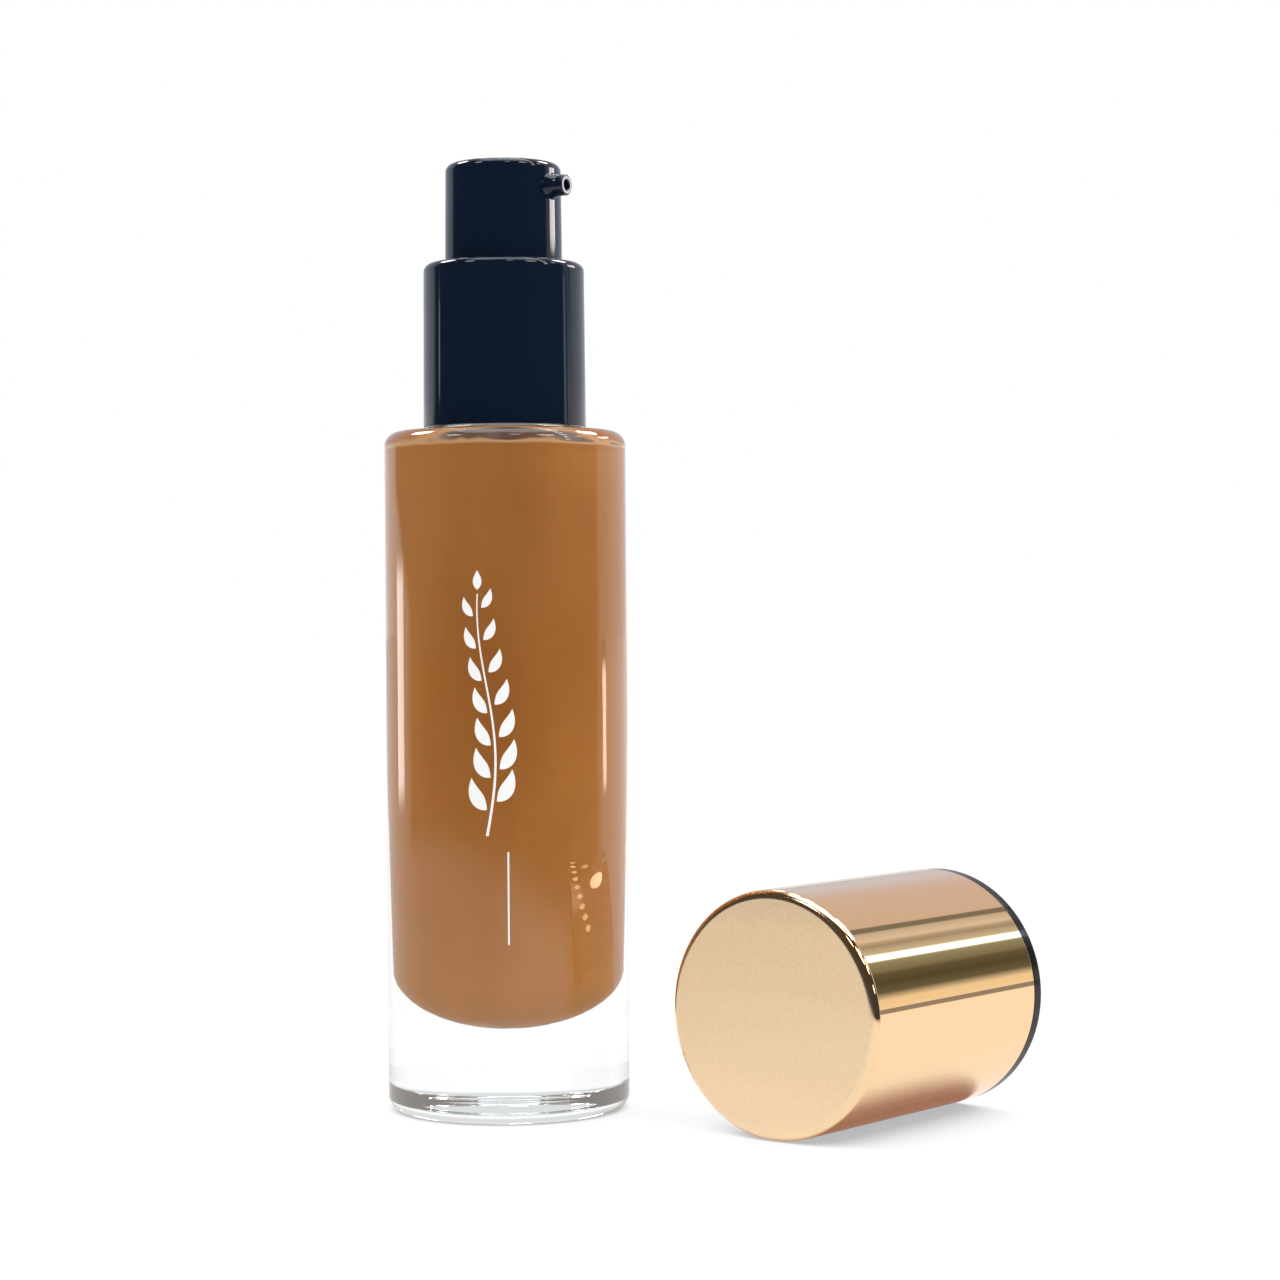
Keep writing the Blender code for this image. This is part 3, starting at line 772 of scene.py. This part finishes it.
def make_cap_liner():
    """The liner: a sleeve that grips the collar, a skirt that holds the shell, and the black rim
    that shows below the gold."""
    bore_r = COLLAR_BOTTOM_R + 0.35 * MM
    sleeve_r = bore_r + 0.9 * MM
    skirt_r = CAP_R - 0.8 * MM
    skirt_inner_r = skirt_r - 0.8 * MM
    skirt_top_z = 14.0 * MM
    rim_r = CAP_R - 0.05 * MM
    rim_inside_z = CAP_RIM + 0.8 * MM
    top_z = CAP_LENGTH - 1.2 * MM
    ceiling_z = top_z - 0.9 * MM
    outline = [
        (0.0, top_z),
        (sleeve_r, top_z, 0.8 * MM),
        (sleeve_r, rim_inside_z),
        (skirt_inner_r, rim_inside_z),
        (skirt_inner_r, skirt_top_z),
        (skirt_r, skirt_top_z),
        (skirt_r, CAP_RIM),
        (rim_r, CAP_RIM, 0.12 * MM),
        (rim_r, 0.0, 0.4 * MM),
        (bore_r, 0.0, 0.5 * MM),
        (bore_r, ceiling_z, 0.6 * MM),
        (0.0, ceiling_z),
    ]
    liner = lathe("cap_black_liner", outline)
    ribs = 6
    for i in range(ribs):
        rib = make_grip_rib(bore_r + 0.2 * MM, math.tau * (i + 0.5) / ribs)
        combine(liner, rib, "UNION")
    return place(liner, cap_matrix())


# ---------------------------------------------------------------- spring


def make_return_spring():
    """Compression spring with one closed coil at each end."""
    wire_r = 0.25 * MM
    coil_r = 2.35 * MM
    low = SPRING_BOTTOM_Z + wire_r
    high = SPRING_TOP_Z - wire_r
    closed_pitch = 0.65 * MM
    open_turns = 5
    open_pitch = (high - low - 2 * closed_pitch) / open_turns
    path = []
    height = low
    for i in range((open_turns + 2) * COIL_STEPS + 1):
        path.append(coil_point(coil_r, i, height))
        open_coil = COIL_STEPS <= i < (open_turns + 1) * COIL_STEPS
        height += (open_pitch if open_coil else closed_pitch) / COIL_STEPS
    return sweep("return_spring_wire", path, [wire_r] * len(path), 12)


# ---------------------------------------------------------------- printed sprig


def on_glass(across, height, lift):
    """A point at an arc length from the print's centre line and a height, lifted off the glass."""
    angle = PRINT_TURN + across / BOTTLE_R
    reach = BOTTLE_R + lift
    return (reach * math.sin(angle), -reach * math.cos(angle), height)


def add_stroke(shape, line, half_widths):
    """Adds a printed stroke to a bmesh: a thin closed ribbon that lies on the glass along line,
    a list of Vector((across, height))."""
    lanes = (-1.0, -0.5, 0.0, 0.5, 1.0)
    gap = 0.006 * MM
    rings = []
    for i, point in enumerate(line):
        ahead = (line[min(i + 1, len(line) - 1)] - line[max(i - 1, 0)]).normalized()
        aside = Vector((-ahead.y, ahead.x)) * half_widths[i]
        spots = [point + aside * lane for lane in lanes]
        under = [shape.verts.new(on_glass(*spot, gap)) for spot in spots]
        over = [shape.verts.new(on_glass(*spot, PRINT_THICKNESS)) for spot in reversed(spots)]
        rings.append(under + over)
    join_rings(shape, rings)


def leaf_width(along, widest):
    """A leaf's half width at a share of its length: pointed at both ends, fullest near its root."""
    return max(0.02 * MM, widest * math.sin(math.pi * along ** 0.8))


def stem_point(t):
    """A point of the sprig's swaying stem, from its foot at t 0 to its top at t 1."""
    foot_z, top_z = 36.0 * MM, 66.0 * MM
    sway = 1.1 * MM * math.sin(math.pi * 1.6 * t)
    return Vector((sway, foot_z + (top_z - foot_z) * t))


def add_leaf(shape, t, side):
    """Adds a leaf that leaves the stem at t, on side -1 or 1, and bends upward."""
    steps = 18
    length = (4.6 - 2.2 * t) * MM
    stagger = 0.035 if side > 0 else 0.0
    root = stem_point(t + stagger) + Vector((side * 0.55 * MM, 0.25 * MM))
    line = []
    widths = []
    for i in range(steps + 1):
        along = i / steps
        lean = math.radians(38 + 26 * along)
        reach = length * along
        line.append(root + Vector((side * reach * math.cos(lean), reach * math.sin(lean))))
        widths.append(leaf_width(along, 0.20 * length))
    add_stroke(shape, line, widths)


def make_print():
    """White sprig that climbs the front of the glass, over a fine rule."""
    shape = bmesh.new()
    stem_steps = 60
    shares = [i / stem_steps for i in range(stem_steps + 1)]
    stem = [stem_point(t) for t in shares]
    add_stroke(shape, stem, [0.17 * MM * (1.0 - 0.55 * t) for t in shares])

    pairs = 7
    for k in range(pairs):
        for side in (-1, 1):
            add_leaf(shape, 0.10 + 0.80 * k / (pairs - 1), side)

    bud_steps = 16
    shares = [i / bud_steps for i in range(bud_steps + 1)]
    bud = [stem_point(1.0) + Vector((0.0, (0.5 + 2.4 * t) * MM)) for t in shares]
    add_stroke(shape, bud, [leaf_width(t, 0.55 * MM) for t in shares])

    rule_steps = 30
    rule = [Vector((2.6 * MM, (22.5 + 11.5 * i / rule_steps) * MM)) for i in range(rule_steps + 1)]
    add_stroke(shape, rule, [0.11 * MM] * len(rule))
    return object_from(shape, "sprig_print")


# ---------------------------------------------------------------- assembly


def coat(obj, finish):
    """Gives an object one material, in a single slot."""
    obj.data.materials.clear()
    obj.data.materials.append(finish)


def dress(obj, body, node, finish):
    """Puts a new piece in the place of a CAD node."""
    coat(obj, finish)
    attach(obj, body)
    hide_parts(node)
    return obj


def repaint(node, finish):
    """Gives a CAD node that stays visible a procedural material."""
    coat(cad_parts[node], finish)


black = black_gloss_plastic()
dress(make_bottle_glass(), "bottle", "bottle_glass", clear_glass())
dress(make_foundation_fill(), "bottle", "foundation_fill", foundation_liquid())
dress(make_collar_cover(), "screw_closure", "collar_cover", black)
dress(make_actuator(), "actuator", "actuator", black)
dress(make_cap_shell(), "cap", "cap_shell", gold_metal())
dress(make_cap_liner(), "cap", "cap_liner", black_liner_plastic())

sprig = make_print()
sprig.data.materials.append(print_ink())
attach(sprig, "bottle")

spring_steel = steel("spring_steel", (0.62, 0.62, 0.60), roughness=0.25, stretch_z=0.2)
spring = dress(make_return_spring(), "pump_engine", "return_spring", spring_steel)

natural = moulded_plastic("natural_polypropylene", (0.76, 0.78, 0.78), 0.35)
acetal = moulded_plastic("white_acetal", (0.82, 0.83, 0.82), 0.3)
repaint("pump_housing", natural)
repaint("chaplet", acetal)
repaint("piston_rod", acetal)
repaint("stem", natural)
repaint("piston", moulded_plastic("piston_polyethylene", (0.72, 0.74, 0.76), 0.45))
repaint("dip_tube", moulded_plastic("tube_polyethylene", (0.86, 0.88, 0.88), 0.3, translucency=0.4))
repaint("closure", moulded_plastic("closure_polypropylene", (0.80, 0.80, 0.78), 0.4))
repaint("gasket", gasket_foam())
repaint("inlet_ball", steel("ball_steel", (0.70, 0.70, 0.70), roughness=0.1, stretch_z=1.0))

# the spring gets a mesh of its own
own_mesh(spring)


# ---------------------------------------------------------------- studio


Axes = collections.namedtuple("Axes", "right away up heading direction")


def stage_mesh(name, corners, shader_tree):
    """A flat studio surface with the material that shader_tree builds."""
    mesh = bpy.data.meshes.new(name)
    mesh.from_pydata(corners, [], [(0, 1, 2, 3)])
    obj = bpy.data.objects.new(name, mesh)
    bpy.context.scene.collection.objects.link(obj)
    paint = bpy.data.materials.new(name)
    paint.use_nodes = True
    paint.node_tree.nodes.remove(paint.node_tree.nodes["Principled BSDF"])
    nodes = Nodes(paint.node_tree)
    nodes.link(shader_tree(nodes), paint.node_tree.nodes["Material Output"].inputs["Surface"])
    mesh.materials.append(paint)
    return obj


def emission(nodes, colour, strength):
    node = nodes.add("ShaderNodeEmission")
    nodes.link(colour, node.inputs["Color"])
    nodes.link(strength, node.inputs["Strength"])
    return node.outputs[0]


def studio_axes(nodes, direction):
    """A world direction in the studio, which turns with the camera: its components to the right,
    away from the camera and up, its heading, and the three components as a vector. The heading is
    1 straight away from the camera, 0 square to the side and -1 towards the camera."""
    forward = nodes.add(
        "ShaderNodeVectorTransform", vector_type="VECTOR", convert_from="CAMERA", convert_to="WORLD"
    )
    forward.inputs[0].default_value = (0.0, 0.0, 1.0)
    level = nodes.vector_math("MULTIPLY", forward.outputs[0], (1.0, 1.0, 0.0))
    away_axis = nodes.add("ShaderNodeVectorMath", operation="NORMALIZE")
    nodes.link(level, away_axis.inputs[0])
    right_axis = nodes.vector_math("CROSS_PRODUCT", away_axis.outputs[0], (0.0, 0.0, 1.0))
    right = nodes.dot(direction, right_axis)
    away = nodes.dot(direction, away_axis.outputs[0])
    up = nodes.split(direction)[2]
    squares = nodes.plus(nodes.times(right, right), nodes.times(away, away))
    run = nodes.math("MAXIMUM", nodes.math("SQRT", squares), 1e-4)
    together = nodes.add("ShaderNodeCombineXYZ")
    for value, socket in zip((right, away, up), together.inputs):
        nodes.link(value, socket)
    return Axes(right, away, up, nodes.math("DIVIDE", away, run), together.outputs[0])


def cap_cone(nodes, axes):
    """1 for directions in a narrow cone round the lying cap's axis, which are those that its gold
    side mirrors."""
    return nodes.band(nodes.dot(axes.direction, CAP_WAY), 0.79, 0.87, 0.012)


# ---------------------------------------------------------------- floor and cards


def floor_in_mirror(nodes, where, axes):
    """How bright a mirror reflection sees the floor: bright behind the object, a pool of light
    round it that fades towards the camera, and dim at the far edge that the cap mirrors."""
    end = nodes.ramp(axes.right, -0.05, 0.05, 0.22, 0.18)
    behind = nodes.ramp(nodes.math("SUBTRACT", axes.heading, end), -0.10, 0.10)
    from_centre = nodes.vector_math("DISTANCE", where, POOL_CENTRE, "Value")
    pool = nodes.ramp(from_centre, POOL_FULL_R, POOL_R, 1.0, 0.05)
    lean = nodes.ramp(nodes.split(where)[0], -0.10, 0.10, 0.88, 1.05)
    far_edge = nodes.times(cap_cone(nodes, axes), nodes.band(axes.up, -0.045, 0.5, 0.006))
    bright = nodes.times(nodes.math("MAXIMUM", behind, pool), lean)
    return nodes.times(bright, nodes.ramp(far_edge, 0.0, 1.0, 1.0, 0.3))


def floor_shader(nodes):
    """Pale card that glows evenly and darkens where the object shades it."""
    shade_node = nodes.add("ShaderNodeAmbientOcclusion", samples=8)
    shade_node.inputs["Distance"].default_value = 20.0 * MM
    open_sky = shade_node.outputs["AO"]
    geometry = nodes.add("ShaderNodeNewGeometry").outputs
    where = geometry["Position"]
    towards = nodes.add("ShaderNodeVectorMath", operation="SCALE")
    nodes.link(geometry["Incoming"], towards.inputs[0])
    towards.inputs["Scale"].default_value = -1.0
    axes = studio_axes(nodes, towards.outputs[0])

    # under the cap's side the shade is a warm brown in the gold
    cap_end = CAP_FACE.dot(CAP_WAY)
    beside_cap = nodes.ramp(nodes.dot(where, CAP_WAY), cap_end - 4.0 * MM, cap_end + 4.0 * MM)
    shadow = nodes.times(nodes.ramp(open_sky, 0.25, 0.55, 1.0, 0.0), beside_cap)
    tint_and_shade = nodes.mix(shadow, FLOOR_WHITE, rgb(0.36, 0.20, 0.15))

    seen = nodes.greys(open_sky, [(0.12, 0.48), (0.40, 0.90), (0.70, 1.07)])
    not_matt = nodes.math("LESS_THAN", nodes.light_path("Diffuse Depth"), 0.5)
    mirrored = nodes.times(nodes.light_path("Is Reflection Ray"), not_matt)
    strength = nodes.mix(mirrored, seen, floor_in_mirror(nodes, where, axes))
    return emission(nodes, nodes.mix(mirrored, FLOOR_WHITE, tint_and_shade), strength)


def make_floor():
    size = 6.0
    z = -0.02 * MM
    corners = [(-size, -size, z), (size, -size, z), (size, size, z), (-size, size, z)]
    stage_mesh("studio_floor", corners, floor_shader)


def make_card(name, seen_from, toward, z_range, width, colour, strength):
    """An upright lamp with soft ends that only mirror reflections see, CARD_REACH away from the
    place that mirrors it. From nearer or farther away it is clear."""
    low, high = z_range
    up = Vector((0.0, 0.0, (high - low) / 2))
    centre = seen_from + toward.normalized() * CARD_REACH
    centre.z = (low + high) / 2
    across = toward.cross(up).normalized() * width / 2
    corners = [
        centre - across - up,
        centre + across - up,
        centre + across + up,
        centre - across + up,
    ]

    def shader(nodes):
        length = nodes.light_path("Ray Length")
        within_reach = nodes.band(length, CARD_REACH * 0.88, CARD_REACH * 1.12, 0.5 * MM)
        height = nodes.split(nodes.add("ShaderNodeTexCoord").outputs["Generated"])[2]
        soft_ends = nodes.band(height, 0.08, 0.92, 0.08)
        blend = nodes.add("ShaderNodeMixShader")
        nodes.link(nodes.times(within_reach, soft_ends), blend.inputs["Fac"])
        nodes.link(nodes.add("ShaderNodeBsdfTransparent").outputs[0], blend.inputs[1])
        nodes.link(emission(nodes, rgb(*colour), strength), blend.inputs[2])
        return blend.outputs[0]

    card = stage_mesh(name, corners, shader)
    card.visible_camera = False
    card.visible_diffuse = False
    card.visible_transmission = False
    card.visible_shadow = False


def on_wall(radius, degrees):
    """A point of a round wall about the bottle's axis, by its turn to the right of the front."""
    angle = math.radians(degrees)
    return Vector((math.sin(angle), -math.cos(angle), 0.0)) * radius


def make_cards():
    # the bright lines down the left and the right of the bottle
    make_card(
        "left_strip",
        seen_from=on_wall(BOTTLE_R, -60.0),
        toward=Vector((-0.882, 0.471, 0.0)),
        z_range=(31.0 * MM, 74.0 * MM),
        width=22.0 * MM,
        colour=(1.0, 0.94, 0.90),
        strength=6.0,
    )
    make_card(
        "right_strip",
        seen_from=on_wall(BOTTLE_R, 55.6),
        toward=Vector((0.946, 0.324, 0.0)),
        z_range=(34.0 * MM, 57.0 * MM),
        width=10.0 * MM,
        colour=(1.0, 0.84, 0.72),
        strength=9.0,
    )
    # the line down the right of the head
    toward_head_lamp = Vector((0.883, 0.469, 0.0))
    make_card(
        "head_strip",
        seen_from=on_wall(HEAD_BOTTOM_R, 60.3),
        toward=toward_head_lamp,
        z_range=(121.7 * MM, 134.0 * MM),
        width=9.0 * MM,
        colour=(1.0, 0.95, 0.95),
        strength=8.0,
    )
    # the light on the lip of the spout
    make_card(
        "lip_lamp",
        seen_from=Vector((math.cos(SPOUT_ANGLE), math.sin(SPOUT_ANGLE), 0.0)) * SPOUT_REACH,
        toward=toward_head_lamp,
        z_range=(121.7 * MM, 146.0 * MM),
        width=34.0 * MM,
        colour=(1.0, 0.86, 0.88),
        strength=9.0,
    )


# ---------------------------------------------------------------- world


def backdrop_and_room(nodes, axes):
    """A pale backdrop behind the object, and a dark room behind the camera."""
    on_right = nodes.ramp(axes.right, -0.05, 0.05)
    through_glass = nodes.light_path("Is Transmission Ray")

    # the backdrop's left and right ends lie at other headings low down, at eye level and above
    left_end = nodes.greys(
        axes.up,
        [(0.0, 0.22), (0.040, 0.58), (0.055, 0.58), (0.075, 0.42), (0.1205, 0.42), (0.1220, 0.45)],
    )
    right_end = nodes.greys(
        axes.up, [(0.0, 0.18), (0.062, 0.18), (0.074, 0.28), (0.1205, 0.28), (0.1220, 0.12)]
    )
    end = nodes.mix(on_right, left_end, right_end)
    behind = nodes.ramp(nodes.math("SUBTRACT", axes.heading, end), -0.07, 0.07)
    backdrop = nodes.stops(
        axes.up,
        [
            (0.0, (1.10, 1.10, 1.10)),
            (0.060, (1.05, 1.05, 1.06)),
            (0.078, (0.74, 0.76, 0.78)),
            (0.1205, (0.66, 0.69, 0.72)),
            (0.1220, (0.56, 0.62, 0.70)),
            (0.200, (0.62, 0.66, 0.76)),
            (0.300, (0.66, 0.68, 0.82)),
            (0.470, (0.66, 0.59, 0.62)),
            (0.560, (0.66, 0.59, 0.60)),
        ],
    )
    low_right = nodes.times(on_right, nodes.ramp(axes.up, 0.06, 0.08, 1.0, 0.0))
    backdrop = nodes.mix(low_right, backdrop, rgb(0.92, 0.92, 0.92))
    plain = nodes.ramp(axes.up, 0.06, 0.20, 1.06, 0.74)
    backdrop = nodes.mix(through_glass, backdrop, plain)

    warmth = nodes.ramp(axes.up, 0.14, 0.35)
    room = nodes.mix(warmth, rgb(0.052, 0.058, 0.066), rgb(0.075, 0.055, 0.035))
    room = nodes.mix(through_glass, room, rgb(0.34, 0.31, 0.29))
    return nodes.mix(behind, room, backdrop)


def with_cap_bands(nodes, axes, colour):
    """Adds bands of light and dark at the right, in a narrow cone round the lying cap's axis, so
    that only the cap's gold side mirrors them. Each stop is a climb from level, in 100 degrees."""
    sideways = nodes.dot(axes.direction, (CAP_WAY.y, -CAP_WAY.x, 0.0))
    climb = nodes.math("ARCTAN2", axes.up, sideways)
    bands = nodes.stops(
        nodes.math("DIVIDE", climb, math.radians(100)),
        [
            (0.000, (0.96, 0.88, 0.70)),
            (0.080, (0.90, 0.84, 0.66)),
            (0.110, (0.55, 0.52, 0.44)),
            (0.150, (0.15, 0.15, 0.11)),
            (0.240, (0.09, 0.09, 0.06)),
            (0.320, (0.13, 0.13, 0.09)),
            (0.350, (0.23, 0.23, 0.17)),
            (0.430, (0.30, 0.35, 0.28)),
            (0.445, (0.50, 0.58, 0.55)),
            (0.457, (2.60, 2.90, 3.60)),
            (0.500, (2.40, 2.70, 3.40)),
            (0.520, (0.62, 0.66, 0.60)),
            (0.570, (0.50, 0.50, 0.46)),
            (0.600, (0.38, 0.36, 0.34)),
            (0.630, (0.50, 0.48, 0.46)),
            (0.660, (0.75, 0.74, 0.76)),
            (0.740, (0.60, 0.57, 0.57)),
            (0.757, (0.22, 0.22, 0.20)),
            (0.800, (0.22, 0.22, 0.20)),
            (0.815, (0.66, 0.60, 0.61)),
        ],
    )
    above_floor = nodes.ramp(climb, 0.0, 0.01)
    below_top = nodes.ramp(climb, math.radians(83), math.radians(87), 1.0, 0.0)
    there = nodes.times(cap_cone(nodes, axes), nodes.times(above_floor, below_top))
    return nodes.mix(there, colour, bands)


def with_collar_strips(nodes, axes, colour):
    """Adds an upright strip of light at each side, which the collar mirrors."""
    on_right = nodes.ramp(axes.right, -0.05, 0.05)
    on_left = nodes.ramp(axes.right, 0.05, -0.05)
    for side, low, high, heading, half_width, glow in (
        (on_right, 0.070, 0.1205, 0.150, 0.045, (0.9, 1.0, 1.1)),
        (on_left, 0.080, 0.112, 0.225, 0.020, (1.9, 2.1, 2.2)),
    ):
        upright = nodes.band(axes.up, low, high, 0.0006)
        across = nodes.band(axes.heading, heading - half_width, heading + half_width, 0.010)
        strip = nodes.times(upright, across)
        colour = nodes.mix(nodes.times(side, strip), colour, rgb(*glow))
    return colour


def with_overhead_light(nodes, axes, colour):
    """Adds a broad light overhead, which draws the rims."""
    overhead = nodes.times(nodes.ramp(axes.up, 0.87, 0.93), nodes.ramp(axes.away, -0.40, -0.30))
    return nodes.mix(overhead, colour, rgb(2.6, 2.9, 3.1))


def with_lamp(nodes, axes, colour, toward, radius, glow):
    """Adds a round lamp, with its radius in degrees and a soft edge."""
    closeness = nodes.dot(axes.direction, Vector(toward).normalized())
    inner = math.cos(math.radians(radius * 0.8))
    outer = math.cos(math.radians(radius))
    return nodes.mix(nodes.ramp(closeness, outer, inner), colour, rgb(*glow))


def bead_lamps():
    """Directions of a chain of small lamps that the rounded edge of the cap's end face mirrors as
    beads. Those near the level of the eye are left out, as the collar would mirror them too."""
    sight = Vector((0.06, 0.99, -0.12)).normalized()
    for degrees in range(2, 96, 9):
        angle = math.radians(degrees)
        outward = Vector((CAP_WAY.y * math.sin(angle), -CAP_WAY.x * math.sin(angle), math.cos(angle)))
        toward = sight.reflect((outward - CAP_WAY * 0.36).normalized())
        if toward.z > 0.22:
            yield toward


def matt_light(nodes, axes):
    """What matt surfaces are lit by: an even, bright room with a soft key from the right."""
    even = nodes.mix(nodes.ramp(axes.away, -0.6, 0.6), rgb(0.86, 0.85, 0.84), rgb(1.0, 1.0, 1.0))
    closeness = nodes.dot(axes.direction, Vector((0.80, 0.15, 0.55)).normalized())
    return nodes.mix(nodes.ramp(closeness, 0.80, 0.97), even, rgb(2.6, 2.55, 2.5))


def make_world():
    """A studio that turns with the camera. Directions are (right, away from the camera, up)."""
    world = bpy.data.worlds.new("studio")
    bpy.context.scene.world = world
    world.use_nodes = True
    nodes = Nodes(world.node_tree)
    axes = studio_axes(nodes, nodes.add("ShaderNodeTexCoord").outputs["Generated"])

    colour = backdrop_and_room(nodes, axes)
    colour = with_cap_bands(nodes, axes, colour)
    colour = with_collar_strips(nodes, axes, colour)
    colour = with_overhead_light(nodes, axes, colour)
    for toward, radius, glow in (
        ((0.55, -0.45, 0.70), 8.0, (7.0, 6.8, 6.0)),
        ((0.15, -0.60, 0.80), 5.0, (6.0, 5.8, 5.2)),
        ((-0.60, -0.35, 0.72), 7.0, (7.0, 6.8, 7.2)),
        ((0.85, -0.05, 0.55), 5.0, (6.0, 5.8, 5.0)),
        ((0.58, 0.42, 0.70), 9.0, (20.0, 19.6, 19.0)),
        ((-0.58, 0.42, 0.70), 9.0, (20.0, 19.6, 20.0)),
    ):
        colour = with_lamp(nodes, axes, colour, toward, radius, glow)
    for toward in bead_lamps():
        colour = with_lamp(nodes, axes, colour, toward, 3.6, (9.0, 9.0, 8.5))

    from_matt = nodes.math("GREATER_THAN", nodes.light_path("Diffuse Depth"), 0.5)
    colour = nodes.mix(from_matt, colour, matt_light(nodes, axes))
    colour = nodes.mix(nodes.light_path("Is Camera Ray"), colour, rgb(1.0, 1.0, 1.0))
    nodes.link(colour, world.node_tree.nodes["Background"].inputs["Color"])


# ---------------------------------------------------------------- camera


def make_camera():
    camera = bpy.data.objects.new("camera", bpy.data.cameras.new("camera"))
    bpy.context.scene.collection.objects.link(camera)
    camera.data.lens = CAMERA_LENS
    camera.data.sensor_width = CAMERA_SENSOR
    camera.data.clip_start = 0.01
    camera.data.clip_end = 50.0
    tilt = Matrix.Rotation(math.radians(90.0 - CAMERA_DIP), 4, "X")
    roll = Matrix.Rotation(CAMERA_ROLL, 4, "Z")
    camera.matrix_world = Matrix.Translation(CAMERA_PLACE) @ tilt @ roll
    bpy.context.scene.camera = camera


make_floor()
make_cards()
make_world()
make_camera()
bpy.context.scene.view_settings.view_transform = "Standard"
bpy.context.scene.view_settings.look = "None"
